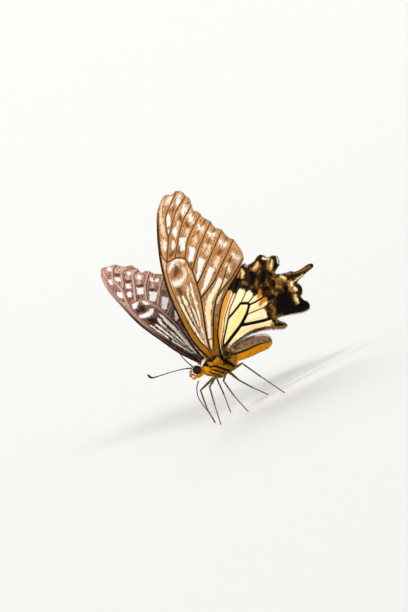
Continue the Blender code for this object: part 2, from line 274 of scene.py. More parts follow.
FORE_VEINS = {
    "subcosta": [(-1.2, -1), (2.3, -3.2), (6, -5), (10, -6.2), (14, -7.3), (20, -8.5), (26, -8.9),
        (32, -9)],
    "radius": [(-1.2, -0.3), (1.4, -0.8), (3.2, -1.9), (5, -2.9), (8.3, -4.2), (11.6, -5.2), (14.7, -6),
        (20, -7.4), (26, -8), (29, -7.3)],
    "radius_2": [(29, -7.3), (31, -8.4), (34, -8.6), (38, -8.1), (43, -7)],
    "radius_fork": [(29, -7.3), (31, -6.8), (33, -6.2), (35.4, -5.5)],
    "radius_4": [(35.4, -5.5), (39, -5.4), (41, -5.1), (43, -4), (45, -2.5), (47.2, -0.6)],
    "radius_5": [(35.4, -5.5), (37, -4.4), (40, -2.8), (43, -0.7), (45.2, 2.3)],
    "media_1": [(29.4, -4.7), (33, -3), (36.5, -1.2), (39.5, 0.6), (42.2, 3.5)],
    "media_2": [(28.4, -1.5), (31.5, -0.2), (34, 1.2), (37, 3.8), (38.8, 5.8)],
    "media_3": [(24.3, -0.1), (28, 2.3), (31, 4.4), (33, 6.1), (35.8, 8.6)],
    "cell_end": [(29, -7.3), (29.1, -6.3), (29.4, -4.7), (29.2, -3.3), (28.4, -1.5)],
    "cubitus": [(-1.2, 0), (4, -0.2), (8, 0.1), (12, 0.5), (16, 0.8), (20.2, 0.5), (24.3, -0.1), (26, -0.8),
        (28.4, -1.5)],
    "cubitus_1": [(20.2, 0.5), (23, 3.3), (26, 6), (29, 8.6), (32.4, 11.7)],
    "cubitus_2": [(16, 0.8), (18, 3.9), (20, 6.7), (23, 9.4), (28.7, 14.7)],
    "anal": [(-1.2, 0.6), (0.5, 0.9), (2.3, 1.3), (4.2, 1.7), (6.4, 2.4), (9.1, 3.1), (11.8, 4.1),
        (14.5, 5.6), (16.4, 8), (19, 12.2), (22.9, 16.6)],
}
SLENDER = {"subcosta": 0.35, "radius": 0.6, "radius_2": 0.7, "anal": 0.8}
# The cells that open on the outer margin lie between these veins, from the tip to the rear corner
CELL_SIDES = ["radius_5", "media_1", "media_2", "media_3", "cubitus_1", "cubitus_2", "anal"]
# Pale windows between the veins: a bar is its outer and inner end and the half width at each, and any
# other mark is a list of strokes, each a run of (span, rear, radius)
REAR_BARS = [
    ((23.2, 6.3), (19, 2.9), 1, 0.72), ((19.4, 8.4), (16.4, 5.2), 0.8, 0.9),
    ((18.9, 10), (14.2, 6.3), 0.5, 0.4),
]
FORE_BARS = REAR_BARS + [
    ((34.2, -0.9), (30.8, -1.8), 1.1, 0.68), ((30.7, 1.6), (27.1, 0), 1.05, 0.66),
    ((26.7, 3.9), (21.4, 0.8), 1.05, 0.45),
]
REAR_WINDOWS = [
    [(19.2, 3.1, 0.6), (18.2, 2, 0.4), (17.5, 1.4, 0.2)],
    [(16.6, 5.4, 0.8), (15, 3.6, 0.95), (12.9, 2.5, 0.92), (10.8, 1.9, 0.86), (8.8, 1.5, 0.72),
     (6.6, 1.1, 0.54), (4.5, 0.7, 0.38)], [(3.6, 0.6, 0.36), (1.6, 0.4, 0.24)],
    [(14.6, 6.5, 0.4), (13.2, 5.6, 0.25)],
]
FORE_WINDOWS = REAR_WINDOWS + [
    [(41.6, -4.1, 0.3), (40.4, -4.25, 0.66), (39.6, -4.4, 0.66), (38.8, -4.6, 0.36)],
    [(37.5, -4.9, 0.26), (36, -5.2, 0.19)], [(37.2, -2.7, 0.6), (36.3, -3, 0.77), (35.4, -3, 0.42)],
    [(33.9, -4.2, 0.43), (33.1, -4.35, 0.5), (32.2, -4.7, 0.3)],
]
FORE_STREAKS = [
    [(20.4, -2.7, 0.14), (19.6, -2.7, 0.28), (18.2, -2.9, 0.31), (17, -2.9, 0.18)],
    [(21.2, -1.3, 0.18), (19.8, -1.5, 0.31), (17.7, -1.4, 0.31), (14.4, -1.1, 0.31), (11.5, -1.15, 0.31),
     (8.9, -1.3, 0.28), (6.5, -1.2, 0.2)],
    [(18.6, -6.3, 0.14), (16.8, -5.9, 0.28), (14.4, -5.25, 0.31), (11.3, -4.4, 0.31), (8, -3.3, 0.3),
     (4.7, -2, 0.25), (3, -1.3, 0.16)],
    [(18.2, -4.6, 0.25), (16.9, -4.4, 0.43), (15.3, -4, 0.25), (13.1, -3.6, 0.19), (10.3, -3, 0.21),
     (7.4, -2.1, 0.2), (5.1, -1.5, 0.12)],
    [(16.1, -2.8, 0.15), (14.5, -2.6, 0.28), (12.7, -2.25, 0.28), (10.6, -2, 0.19), (8.8, -1.9, 0.12)],
]
# Seen from above the same windows are broader and whiter
OVER_BARS = REAR_BARS + [
    ((41.1, -3.8), (39.4, -4.6), 0.85, 0.75), ((37.1, -2.8), (35.3, -3.6), 0.72, 0.62),
    ((33.9, -0.7), (31.5, -2.1), 1.1, 0.7), ((30.7, 1.9), (27.4, -0.3), 1.25, 0.85),
    ((39.4, 2.6), (37.6, 1.5), 0.62, 0.58), ((35.3, -6.3), (32.9, -7.3), 0.85, 0.65),
    ((27, 4), (22.9, 0.9), 1.05, 0.7),
]
OVER_PALE = REAR_WINDOWS + [
    [(46.4, -2.8, 0.38), (45.7, -3.2, 0.56), (45, -3.5, 0.38)], [(42, 0.7, 0.45), (41.2, 0.1, 0.52)],
    [(36, 4.7, 0.43), (35.4, 4.3, 0.47)], [(35.2, 5.9, 0.45), (34.6, 5.4, 0.47)],
    [(40.9, -6.1, 0.38), (40.2, -6.25, 0.54), (39.5, -6.4, 0.38)], [(33.4, -4.6, 0.56), (32.5, -4.9, 0.56)],
    [(28.9, -4.9, 0.47), (28.2, -5.7, 0.74), (27.4, -6.3, 0.63)],
    [(28.3, -2.8, 0.34), (27.5, -2.4, 0.5), (26.9, -2, 0.34)],
    [(23.1, -6.6, 0.67), (22.9, -5.4, 0.83), (23.1, -4.2, 0.83), (23.5, -3.2, 0.75), (24.5, -2.2, 0.44)],
]
OVER_STREAKS = [
    [(21.6, -1.2, 0.3), (18, -1.2, 0.5), (14, -0.9, 0.46), (10, -0.9, 0.42), (6, -0.9, 0.3),
     (3.4, -0.7, 0.2)],
    [(20, -2.9, 0.3), (18.4, -3.1, 0.5), (16, -2.9, 0.3), (12, -2.3, 0.26), (8, -1.7, 0.2)],
    [(18.6, -6.3, 0.2), (14.4, -5.2, 0.32), (9, -3.6, 0.3), (4, -1.7, 0.2)],
    [(18.2, -4.7, 0.3), (15.3, -4.1, 0.34), (10.3, -3, 0.2), (6, -1.8, 0.14)],
]
# Marks of the underside, and those of the upper side where it differs
FORE_MARKS = {
    "halo": [[(46.4, -2.4, 0.42), (45.7, -3.3, 0.6), (45, -4, 0.25)],
        [(45.9, 0.3, 0.42), (44.6, -0.2, 0.6), (43.4, -0.8, 0.3)],
        [(42.8, 1.5, 0.34), (41.7, 0.8, 0.64), (40.7, 0.5, 0.4)], [(41.9, 2.3, 0.26), (41.1, 1.6, 0.36)],
        [(39.9, 2.4, 0.48), (38.7, 2.6, 0.7), (37.6, 3, 0.34)], [(36.1, 4.6, 0.26), (35.4, 4.7, 0.48)],
        [(35.1, 5.8, 0.5), (34.3, 5.3, 0.3)], [(33.3, 7.5, 0.34), (32.6, 7.7, 0.4)],
        [(32.2, 8.8, 0.52), (31.6, 8.3, 0.34)], [(29.8, 10.5, 0.44), (29.1, 10.7, 0.38)],
        [(28.5, 12, 0.54), (28.1, 11.4, 0.34)], [(24.8, 13.8, 0.54), (24, 14.4, 0.34)],
        [(23.4, 15.3, 0.36), (23.1, 15, 0.3)]],
    "ring": [[(28.7, -4.6, 0.26), (28, -5.8, 0.6), (27.1, -6.9, 0.45), (26.4, -7.3, 0.2)],
        [(28.9, -6.1, 0.25), (28.7, -4.4, 0.36), (28.3, -2.9, 0.36), (27.7, -2.2, 0.3)],
        [(35.2, -6.9, 0.5), (34, -7.1, 0.85), (32.8, -7.3, 0.6)],
        [(24.7, -2.3, 0.3), (23.5, -2.9, 0.56), (22.7, -4.1, 0.66), (22.3, -5.3, 0.88), (22.7, -6.4, 0.62),
         (23.3, -6.9, 0.3)]],
    "tan": [[(45.6, -5.3, 0.3), (44.2, -5.8, 0.45), (41, -6.5, 0.6), (37.6, -6.7, 0.55), (36.2, -6.6, 0.3)],
        [(41.8, -1.5, 0.43), (40.9, -1.8, 0.5)], [(38.8, -1.3, 0.5), (37.8, -1.6, 0.56)],
        [(35.8, 1.1, 0.62), (34.8, 0.8, 0.56)], [(32.8, 3, 0.62), (31.8, 2.6, 0.56)],
        [(30, 5.5, 0.5), (29.2, 4.8, 0.38)], [(29.2, 6.9, 0.62), (27.9, 5.9, 0.62)],
        [(25.4, 8.8, 0.75), (23.6, 7.6, 0.75)], [(22.4, 11.4, 0.75), (21, 11.6, 0.75)],
        [(44.4, -2.6, 0.3), (43.6, -2.9, 0.3)], [(31.2, -8.2, 0.2), (29, -8.2, 0.2), (27, -8.4, 0.15)],
        [(25.8, -1.3, 0.12), (23.5, -0.5, 0.2), (21.5, -0.2, 0.16)],
        [(6.4, -1.1, 0.1), (4.8, -1, 0.2), (3, -0.7, 0.15)], [(28.4, -4.3, 0.4), (27.4, -4.4, 0.4)],
        [(25.8, -2.8, 0.4), (25.2, -2.4, 0.4)]],
    "dark": [[(43.2, -2.3, 0.34), (42.3, -2.4, 0.22)], [(40.4, -0.6, 0.38), (39.1, -0.5, 0.33)],
        [(38, 1, 0.36), (36.9, 1.3, 0.38)], [(34.2, 3.9, 0.24), (34.6, 4.5, 0.2)],
        [(36.2, 6.3, 0.2), (36.8, 7.1, 0.22)], [(31.5, 7.4, 0.25), (30.6, 6.6, 0.28)],
        [(27.3, 9.8, 0.34), (26.3, 9.1, 0.34)], [(24.7, 13.3, 0.2), (23.4, 12.1, 0.25)],
        [(33, 8.9, 0.2), (33.6, 9.7, 0.2)], [(31.9, 12, 0.2), (32, 12.4, 0.2)],
        [(30.1, 12.3, 0.22), (29.6, 13.1, 0.2)], [(26.8, -4.8, 0.5), (25.8, -5, 0.85), (24.8, -5.6, 0.5)],
        [(20.6, -5.4, 0.8), (19.2, -5, 0.6)],
        [(30.6, -5.9, 0.5), (31.4, -4.2, 0.35), (30.6, -2.9, 0.4), (31.8, -2.7, 0.2)],
        [(22.2, 2.1, 0.35), (21.6, 1.7, 0.3)], [(26.2, -0.2, 0.35), (25.2, 0.2, 0.3)]],
    "butter": [[(18.6, 9.4, 0.4), (16.6, 7, 0.6), (14.6, 5, 0.6), (12, 3.6, 0.4), (9.5, 2.6, 0.2)],
        [(14.6, 2.4, 0.3), (12.6, 2.2, 0.5), (10.4, 1.9, 0.5)]],
    "ochre": [[(18, -7.5, 0.05), (14.9, -6.65, 0.22), (11.8, -5.85, 0.4), (8.5, -4.85, 0.5),
         (5.3, -3.75, 0.52), (1.8, -2.05, 0.6), (0.4, -1.4, 0.6)],
        [(9.4, 3.6, 0.25), (7.3, 3, 0.5), (5, 2.6, 0.8), (3.2, 2.3, 0.95), (1.7, 2, 0.95)]],
    "root": [[(-2.2, -0.6, 0.9), (-2, 1.4, 0.9)]],
    "crease": [[(24.9, 13.5, 0.1), (23, 11.8, 0.16), (21, 10.4, 0.17), (19.4, 9.4, 0.18), (17.3, 7.9, 0.2),
         (15.4, 6.2, 0.2), (13.4, 5, 0.26), (10.6, 3.7, 0.26), (7.5, 2.4, 0.16)],
        [(17.6, -5.3, 0.1), (14, -4.55, 0.18), (9, -3.05, 0.18), (4.5, -1.6, 0.1)],
        [(15.5, -3.4, 0.1), (12.5, -2.9, 0.17), (9, -2.35, 0.17), (5.5, -1.45, 0.1)],
        [(19.6, -4, 0.1), (16.4, -3.3, 0.16), (13, -1.75, 0.16), (8, -1.5, 0.1)],
        [(4.1, -0.1, 0.14), (4, 1.2, 0.14)], [(44.9, -5.3, 0.1), (43, -5.7, 0.13), (41.6, -6, 0.13)]],
    "over_tan": [[(45.6, -5.2, 0.35), (43.4, -5.9, 0.42), (42, -6.2, 0.35)],
        [(45.4, -1.6, 0.4), (44.2, -2, 0.5), (43.2, -2.4, 0.4)], [(43.6, 0.4, 0.3), (42.6, -0.6, 0.4)],
        [(40.2, -0.9, 0.55), (39.2, -1.4, 0.5)], [(39.8, 1.4, 0.35), (37.2, 0.9, 0.42), (35.6, -0.2, 0.4)],
        [(36.8, 4.8, 0.32), (36.2, 3.6, 0.3)], [(34, 3.8, 0.5), (32.8, 2.9, 0.5)],
        [(37.6, -5.2, 0.25), (36.6, -5.2, 0.25)], [(32.6, 5.6, 0.4), (31, 4.7, 0.4)],
        [(31, -8.2, 0.2), (29.4, -8.2, 0.2)]],
    "over_dark": [[(38.3, -2.6, 0.35), (37.9, -1.6, 0.4)], [(42.4, -3.1, 0.45), (42, -2.2, 0.4)],
        [(34.5, 0.5, 0.4), (35, -0.8, 0.35)], [(31.2, -4.2, 0.5), (31.4, -3, 0.4), (30.2, -3.9, 0.4)],
        [(37.5, 2.9, 0.32), (36.8, 3.7, 0.32)], [(26.6, -4.4, 0.8), (25.6, -4.9, 1), (25.4, -6.2, 0.5)],
        [(20.8, -5, 1), (19.6, -4.4, 0.8), (20.2, -3, 0.6)], [(31.6, 2.4, 0.4), (31.4, 1, 0.4)]],
}


def vein_width(at):
    """Half width of a vein's dark line: veins taper from the hinge to the margin."""
    return 0.30 - 0.13 * np.clip(np.linalg.norm(at[..., :2], axis=-1) / 46, 0, 1)


def vein_strokes(veins, scale, slender=None, rearward=0.0):
    """Strokes along the veins with their half widths, moved towards the rear if that is wanted."""
    rows = [(smooth_run(v, 0.5), (slender or {}).get(name, 1.0)) for name, v in veins.items()]
    return [np.column_stack([row + (0, rearward), scale * part * vein_width(row)]) for row, part in rows]


def cell_fold(one, other, start, end, radius):
    """A stroke along the fold in the middle of a cell, from one distance to another off the margin."""
    middle = []
    for vein in (one, other):
        run = smooth_run(vein, 0.2)[::-1]
        off_margin = length_along(run)
        middle.append(np.column_stack([np.interp((start, end), off_margin, run[:, k]) for k in (0, 1)]))
    return [(*place, radius) for place in (middle[0] + middle[1]) / 2]


def inside(at, rim):
    """Which points lie inside a closed line."""
    hit = np.zeros(len(at), bool)
    for (x1, y1), (x2, y2) in zip(rim, np.roll(rim, -1, axis=0)):
        if y1 != y2:
            crosses = (y1 > at[:, 1]) != (y2 > at[:, 1])
            hit ^= crosses & (at[:, 0] < (x2 - x1) * (at[:, 1] - y1) / (y2 - y1) + x1)
    return hit


def patch(at, corners):
    """How far each point lies inside a closed shape; outside is negative."""
    away = -depth(at, [[(*a, 0.0), (*b, 0.0)] for a, b in zip(corners, corners[1:] + corners[:1])], 50)
    return np.where(inside(at, np.array(corners, float)), away, -away)


def bars(at, rows):
    """How far each point lies inside windows with straight sides and square ends."""
    best = np.full(len(at), -9.0)
    for outer, inner, wide, narrow in rows:
        run = np.subtract(outer, inner)
        side = np.array((-run[1], run[0])) / np.linalg.norm(run)
        ends = (outer + side * wide, inner + side * narrow, inner - side * narrow, outer - side * wide)
        best = np.maximum(best, patch(at, [tuple(end) for end in ends]))
    return best


def wing_plan(outline, veins, grain):
    """Triangles of a wing in its own plane, with lines of points along each vein and its foot."""
    rim = smooth_run(outline + outline[:1], 0.3)[:-1]
    ragged = np.random.default_rng(7).normal(0, 0.035, len(rim))
    rim = rim + ragged[:, None] * (rim - rim.mean(axis=0)) / 20
    edge = [np.column_stack([np.vstack([rim, rim[:1]]), np.zeros(len(rim) + 1)])]
    links = [(i, (i + 1) % len(rim)) for i in range(len(rim))]
    runs = [smooth_run(vein, 0.35) for vein in veins.values()]
    total = len(rim)
    for run in runs:
        links += [(total + i, total + i + 1) for i in range(len(run) - 1)]
        total += len(run)
    points = [rim] + runs
    lines = vein_strokes(veins, 0.0)
    for run in runs:
        along = np.gradient(run, axis=0)
        across = np.stack([-along[:, 1], along[:, 0]], 1) / np.linalg.norm(along, axis=1)[:, None]
        for q in (0.1, -0.1, 0.22, -0.22):
            beside = run + q * across
            keep = (depth(beside, lines) < -0.9 * abs(q)) & inside(beside, rim) & (depth(beside, edge) < -0.1)
            points.append(beside[keep])
    low = rim.min(axis=0)
    high = rim.max(axis=0)
    lattice = []
    for k, y in enumerate(np.arange(low[1], high[1], grain * 0.87)):
        x = np.arange(low[0] + (k % 2) * grain / 2, high[0], grain)
        lattice.append(np.column_stack([x, np.full(len(x), y)]))
    lattice = np.vstack(lattice)
    lattice = lattice[inside(lattice, rim)]
    points.append(lattice[(depth(lattice, edge) < -0.12) & (depth(lattice, lines) < -0.34)])
    every = [Vector(p) for p in np.vstack(points)]
    flat, _, tris, _, _, _ = geometry.delaunay_2d_cdt(every, links, [], 1, 1e-4)
    return np.array(flat), np.array(tris), edge


def wing_fields(plan, front_edge, veins, marks):
    """How far each point of a wing lies inside its marks, and its place by the rim and the veins."""
    at, _, edge = plan
    fields = {name: depth(at, strokes) for name, strokes in marks.items()}
    fields["vein_axis"] = depth(at, vein_strokes(veins, 0.0))
    fields["rim"] = -depth(at, edge)
    fields["costa"] = np.clip(1.3 + depth(at, [[(*p, 0.0) for p in front_edge]]), 0, 1)
    return fields


def wing_stand(hinge, spread, side, shape):
    """How a wing stands: a function that brings points of its plan, and their lift, to the frame."""
    def stand(at, lift):
        s, r = shape(at).T
        out = TIP_BEND * (s / TIP_SPAN) ** 2 + lift
        return placed(np.stack([side * (hinge[0] + s * math.sin(spread) + out * math.cos(spread)),
                                hinge[1] + r,
                                hinge[2] + s * math.cos(spread) - out * math.sin(spread)], 1))
    return stand


def wing_mesh(name, plan, fields, stand, side, finishes):
    """Both faces of a wing over one plan, and the strip that closes its edge."""
    at, tris, _ = plan
    away = -fields["vein_axis"]
    ridge = (0.10 + 0.5 * vein_width(at)) * np.clip(1 - (away / 0.24) ** 2, 0, 1)
    root = 0.5 * np.exp(-((at[:, 0] + 1.8) / 1.8) ** 2)
    thick = MEMBRANE / 2 * np.clip(fields["rim"] / 0.3, 0.35, 1) + ridge + root
    wave = 0.2 * np.sin(0.33 * at[:, 0] + 0.5 * at[:, 1]) * (at[:, 0] / TIP_SPAN)
    pleat = 0.16 * (1 - np.exp(-(away / 1.1) ** 2)) + wave
    count = len(at)
    borders = {}
    for a, b, c in tris:
        for pair in ((a, b), (b, c), (c, a)):
            key = (min(pair), max(pair))
            borders[key] = None if key in borders else pair
    strip = [(b, a, a + count, b + count) for a, b in filter(None, borders.values())]
    faces = [f[::-side] for f in tris.tolist() + (tris[:, ::-1] + count).tolist() + strip]
    mesh = solid(name, np.vstack([stand(at, pleat + thick), stand(at, pleat - thick)]), faces, *finishes)
    index = np.zeros(len(faces), np.int32)
    index[len(tris):2 * len(tris)] = 1
    mesh.polygons.foreach_set("material_index", index)
    paint_fields(mesh, {key: np.concatenate([value, value]) for key, value in fields.items()})
    lay_flat(mesh, "plan", (at[corners_of(mesh) % count] + (4, 12)) / PLAN_SIZE)
    mesh.set_sharp_from_angle(angle=SHARP)
    return mesh


wings = []


def wing_pair(name, plan, fields, hinge, spread, right_shape, finishes):
    """A left wing that is spread as its plan is drawn, and a right one with a shape of its own."""
    for side_name, side, shape in (("left", 1, np.asarray), ("right", -1, right_shape)):
        stand = wing_stand(hinge, spread, side, shape)
        mesh = wing_mesh(f"{name}_{side_name}", plan, fields, stand, side, finishes)
        show(f"{name}_scaled_{side_name}", mesh, name + "_scales", f"{name}_{side_name}")
        wings.append((mesh, plan, fields, stand, name + "_scales"))


def fore_finish(name, face, outer, outer_shade, inner, inner_shade, rim, tan, pale, cream, butter,
                ochre, root, dark, costal, beside, line, tip_line, lee, rib, lee_shade_depth):
    """Scales of one face of a forewing: clouded ground, patches, pale marks, then the lines of the veins,
    with a painted highlight beside them and, on the upper side, a painted shadow behind them.
    """
    f = Finish(name)
    _, lot = f.scale_rows(5.5, 11.0)
    cloud = f.noise(0.55, 3.0)
    blot = f.noise(1.7, 3.0) - 0.5
    hairline = f.noise(1.0, at=f.stretched(f.field("grain", "Vector"), 0.75, 3.4, 1.0)) - 0.5
    jitter = (lot - 0.5) * 0.35 + blot * 0.8
    span = f.field("span")
    hem = f.field("rim")
    mottle = (cloud * 2.0 - 0.5 + hairline * 6.0 + blot * 2.0).edge(1.2)
    outward = (span * 0.1 - 2.4 + blot).edge(1.2)
    far_out = (span * 0.1 - 3.1).edge(1.8)
    f.colour = f.mix(outward, f.mix(mottle, inner_shade, inner), f.mix(mottle, outer_shade, outer))
    f.cover((0.9 - hem + jitter * 1.4 + hairline * 1.5).edge(1.6) * 0.8, rim)
    f.cover(f.field("costa") * (0.9 + blot) * 0.85, f.mix(far_out, costal, rim))
    frost = (cloud * 2.0 - 1.35 + hairline * 6.0 + blot * 3.2 + (1.6 - hem) * 0.12).edge(0.8)
    f.cover(frost * outward * 0.75, beside)
    f.cover((hairline * -7.0 + blot * -3.0 - 0.9).edge(0.8) * outward * 0.6, outer_shade)
    f.mark("halo", 0.3 + jitter * 1.6 + hairline * 2.0, 1.2, tan, 0.75)
    f.mark(face + "tan", jitter * 1.4 + hairline * 2.0, 0.8, tan)
    f.mark(face + "dark", jitter + hairline * 2.0, 0.6, dark, 0.9)
    f.cover((blot * 2.4 + hairline * 4.0 - 0.9).edge(0.6) * 0.45, dark)
    # Painted highlight: a lighter band round each vein away from the hinge, wider by rib, as if light caught
    # the raised veins.
    f.mark("vein", rib + blot * 0.2, 0.35, beside, (span * 0.05 - 0.2).edge(1.2) * 0.85)
    whites = f.mix((span * -0.08 + 1.7).edge(0.8), pale, cream)
    whites = f.mix((f.field("butter") + jitter).edge(0.7), whites, butter)
    f.mark("ring", jitter + hairline * 1.4, 0.75, f.mix(0.35, pale, tan), (1.0 - lee_shade_depth) * 0.95)
    f.mark("halo", jitter + hairline * 1.6 - 0.08, 0.5, whites, 1.0 - lee_shade_depth)
    f.mark(face + "pale", jitter * 0.8 + hairline, 0.36, whites)
    f.mark("ochre", jitter * 0.7 + hairline * 0.5, 0.4, ochre)
    f.mark("crease", jitter * 0.3, 0.2, line, 0.95)
    f.mark("vein", jitter * 0.2 + 0.03, 0.2, f.mix(outward, line, tip_line))
    # Painted shadow behind each vein, on the outer half of the upper side only; then a dark line along the
    # front edge in the same colour.
    f.mark("lee", jitter * 0.3, 0.16, lee, outward * lee_shade_depth)
    edge_line = (0.65 - hem + jitter * 0.4).edge(0.25) * f.field("costa")
    f.cover(edge_line * (4.3 - span * 0.1).edge(0.8) * (1.0 - far_out * lee_shade_depth), lee)
    f.mark("root", jitter, 0.5, root)
    return f.worn(0.84 + 0.24 * lot + 0.45 * hairline, lot + hairline * 2.0, height=0.045,
                  strength=0.8, roughness=0.6 + 0.2 * lot, gloss=0.05)


fore_plan = wing_plan(FORE_OUTLINE, FORE_VEINS, FORE_GRAIN)
fore_at = fore_plan[0]
fore_fields = wing_fields(fore_plan, FORE_OUTLINE[:16], FORE_VEINS, FORE_MARKS)
fore_away = -fore_fields["vein_axis"]
folds = [cell_fold(FORE_VEINS[a], FORE_VEINS[b], 0.3, 1.9, 0.1) for a, b in zip(CELL_SIDES, CELL_SIDES[1:])]
# The rows of scales run down the wing near the hinge and along the slanting veins in the outer half
slant = np.radians(40) * np.clip((fore_at[:, 0] + 0.3 * fore_at[:, 1] - 18) / 12, 0, 1)
off = fore_at - (24, 2)


def windows(strokes, rows, gap):
    """Pale windows on the forewing, which keep clear of the veins."""
    return np.minimum(np.maximum(depth(fore_at, strokes), bars(fore_at, rows)), fore_away - gap)


fore_fields |= {
    "vein": depth(fore_at, vein_strokes(FORE_VEINS, 1.0, SLENDER)),
    # lee: each vein's stroke set 0.3 mm towards the rear, where its painted shadow lies
    "lee": depth(fore_at, vein_strokes(FORE_VEINS, 0.7, SLENDER, 0.3)),
    "pale": np.maximum(windows(FORE_WINDOWS, FORE_BARS, 0.4), depth(fore_at, FORE_STREAKS)),
    "over_pale": np.maximum(windows(OVER_PALE, OVER_BARS, 0.32),
                            depth(fore_at, FORE_STREAKS[:1] + OVER_STREAKS)),
    "halo": np.minimum(fore_fields["halo"], fore_away - 0.34),
    "crease": np.maximum(fore_fields["crease"], depth(fore_at, folds)),
    "span": fore_at[:, 0],
    "grain": np.stack([off[:, 0] * np.cos(slant) + off[:, 1] * np.sin(slant),
                       off[:, 1] * np.cos(slant) - off[:, 0] * np.sin(slant), 0 * slant], 1),
}


def curled(at):
    """The right forewing's plan: its tip is drawn in between the veins and its middle set back."""
    s, r = at.T
    inward = (2.3 * np.exp(-((s - 46.4) / 3) ** 2 - ((r - 1.1) / 1.7) ** 2)
              + 1.2 * np.exp(-((s - 40.9) / 1.8) ** 2 - ((r - 3.5) / 0.9) ** 2))
    back = 0.6 * np.exp(-((s - 36) / 8) ** 2) * np.clip((r + 7.5) / 4, 0, 1)
    return np.stack([s - inward, r + back], 1)


wing_pair("forewing", fore_plan, fore_fields, FORE_HINGE, FORE_SPREAD, curled, (
    # beside colours both the sprinkled pale scales and the painted highlight round the veins; lee colours the
    # painted shadow behind the veins and the line along the front edge
    fore_finish("forewing_underside", "", outer=(202, 146, 94), outer_shade=(128, 84, 48),
                inner=(186, 138, 92), inner_shade=(112, 74, 46), rim=(204, 146, 94), tan=(250, 216, 178),
                pale=(253, 248, 243), cream=(252, 236, 206), butter=(253, 224, 146), ochre=(166, 106, 10),
                root=(24, 12, 5), dark=(92, 56, 32), costal=(150, 102, 50), beside=(222, 168, 110),
                line=(66, 32, 6), tip_line=(112, 64, 20), lee=(46, 22, 6), rib=0.16, lee_shade_depth=0.0),
    # On the upper side tip_line, the colour of the veins' outer lines, is light mauve: painted highlight on
    # the raised veins
    fore_finish("forewing_upperside", "over_", outer=(156, 116, 96), outer_shade=(84, 57, 42),
                inner=(84, 58, 42), inner_shade=(40, 25, 16), rim=(192, 148, 128), tan=(232, 184, 160),
                pale=(253, 248, 244), cream=(250, 240, 228), butter=(250, 240, 228), ochre=(40, 24, 14),
                root=(14, 9, 6), dark=(34, 20, 13), costal=(112, 84, 88), beside=(198, 152, 140),
                line=(50, 32, 24), tip_line=(216, 168, 150), lee=(46, 27, 18), rib=0.3, lee_shade_depth=0.9)))

# Hindwings: cream cells framed by black veins, a black border that is dusted with tan scales, pale
# crescents in it, and a short dark tail. They lie outside the forewings, made as those are. The right
# one, which the left one hides, is turned a little further forward.
HIND_SPREAD = math.radians(25.5)
HIND_HINGE = (3.7, 1.0, 2.7)
FAR_HIND_TURN = math.radians(12)
HIND_GRAIN = 0.24
HIND_OUTLINE = [
    (-2.2, -1), (0, -1.2), (2.5, -1.1), (4.3, -1), (6.2, -0.5), (8.6, 0.5), (11.2, 1.7), (13.8, 3.2),
    (15.8, 4.9), (17.3, 6.6), (19.8, 9.8), (21.7, 12.4), (20.7, 13.4), (21.2, 15.6), (22.4, 17.6),
    (22.1, 19), (21, 20.3), (21, 22.4), (19.9, 23.7), (17.9, 23.5), (16.2, 21.6), (15.3, 23), (15, 25),
    (14.9, 27), (14.5, 28.4), (14.6, 30), (15, 31.6), (15.3, 33.2), (15, 34.4), (14.1, 34.5), (13.6, 33.2),
    (13.1, 31.6), (12.5, 30.6), (12, 29), (11.3, 27.9), (10.7, 28.5), (9.6, 29.3), (8.2, 29.1), (7.2, 28.2),
    (5.9, 28.9), (4.7, 30.3), (3.2, 30.3), (2.8, 27.8), (3.3, 24.4), (3.6, 20.9), (3.6, 19), (2.3, 20.2),
    (1.2, 21.8), (0.4, 21.2), (0.6, 19.2), (1.6, 16.6), (2.3, 13.6), (2.4, 10.1), (1.6, 6.2), (0.4, 2.8),
    (-2.2, 1.3),
]
HIND_VEINS = {
    "subcosta": [(-1.4, -0.6), (1, -0.5), (3, 0.1), (5.7, 1.4), (8.3, 2.5), (10, 3.5), (13.2, 5.7),
        (16, 8.2), (20.9, 11.5)],
    "radius": [(1, -0.1), (2.9, 0.8), (4.9, 1.9), (6.7, 2.9), (8.3, 3.8)],
    "cell_front": [(8.3, 3.8), (9.5, 6), (11.2, 8.7)],
    "sector": [(8.3, 3.8), (10.5, 4.8), (13, 6.9), (16.5, 9.8), (20.9, 14.4)],
    "media_1": [(11.2, 8.7), (14, 11.4), (17.5, 14.8), (22.3, 18.4)],
    "media_2": [(10.6, 10.8), (11.7, 13), (15.8, 19), (20.2, 23.4)],
    "media_3": [(10, 11.3), (10.2, 13.8), (11.4, 19.5), (12.9, 25), (13.8, 29), (14.7, 34.2)],
    "cell_end": [(11.2, 8.7), (10.6, 10.8), (10, 11.3), (7.6, 9.8)],
    "cubitus": [(0.9, 0.4), (3, 3.7), (5.2, 7.2), (7.6, 9.8)],
    "cubitus_1": [(7.6, 9.8), (7.7, 13), (8, 18), (8.8, 24), (9.2, 28.9)],
    "cubitus_2": [(5.2, 7.2), (4.7, 11), (4.2, 16), (4.2, 26), (4, 30.2)],
    "anal": [(0.3, 1.6), (2, 6.2), (2.8, 10), (2.6, 14), (1.3, 21.4)],
}
# Half width of each vein's line; those under THIN_LINE are brown instead of black
THIN_LINE = 0.2
HIND_LINE = {"subcosta": 0.17, "radius": 0.28, "cell_front": 0.35, "sector": 0.19, "media_1": 0.19,
             "media_2": 0.19, "media_3": 0.28, "cell_end": 0.42, "cubitus": 0.52, "cubitus_1": 0.19,
             "cubitus_2": 0.46, "anal": -0.4}
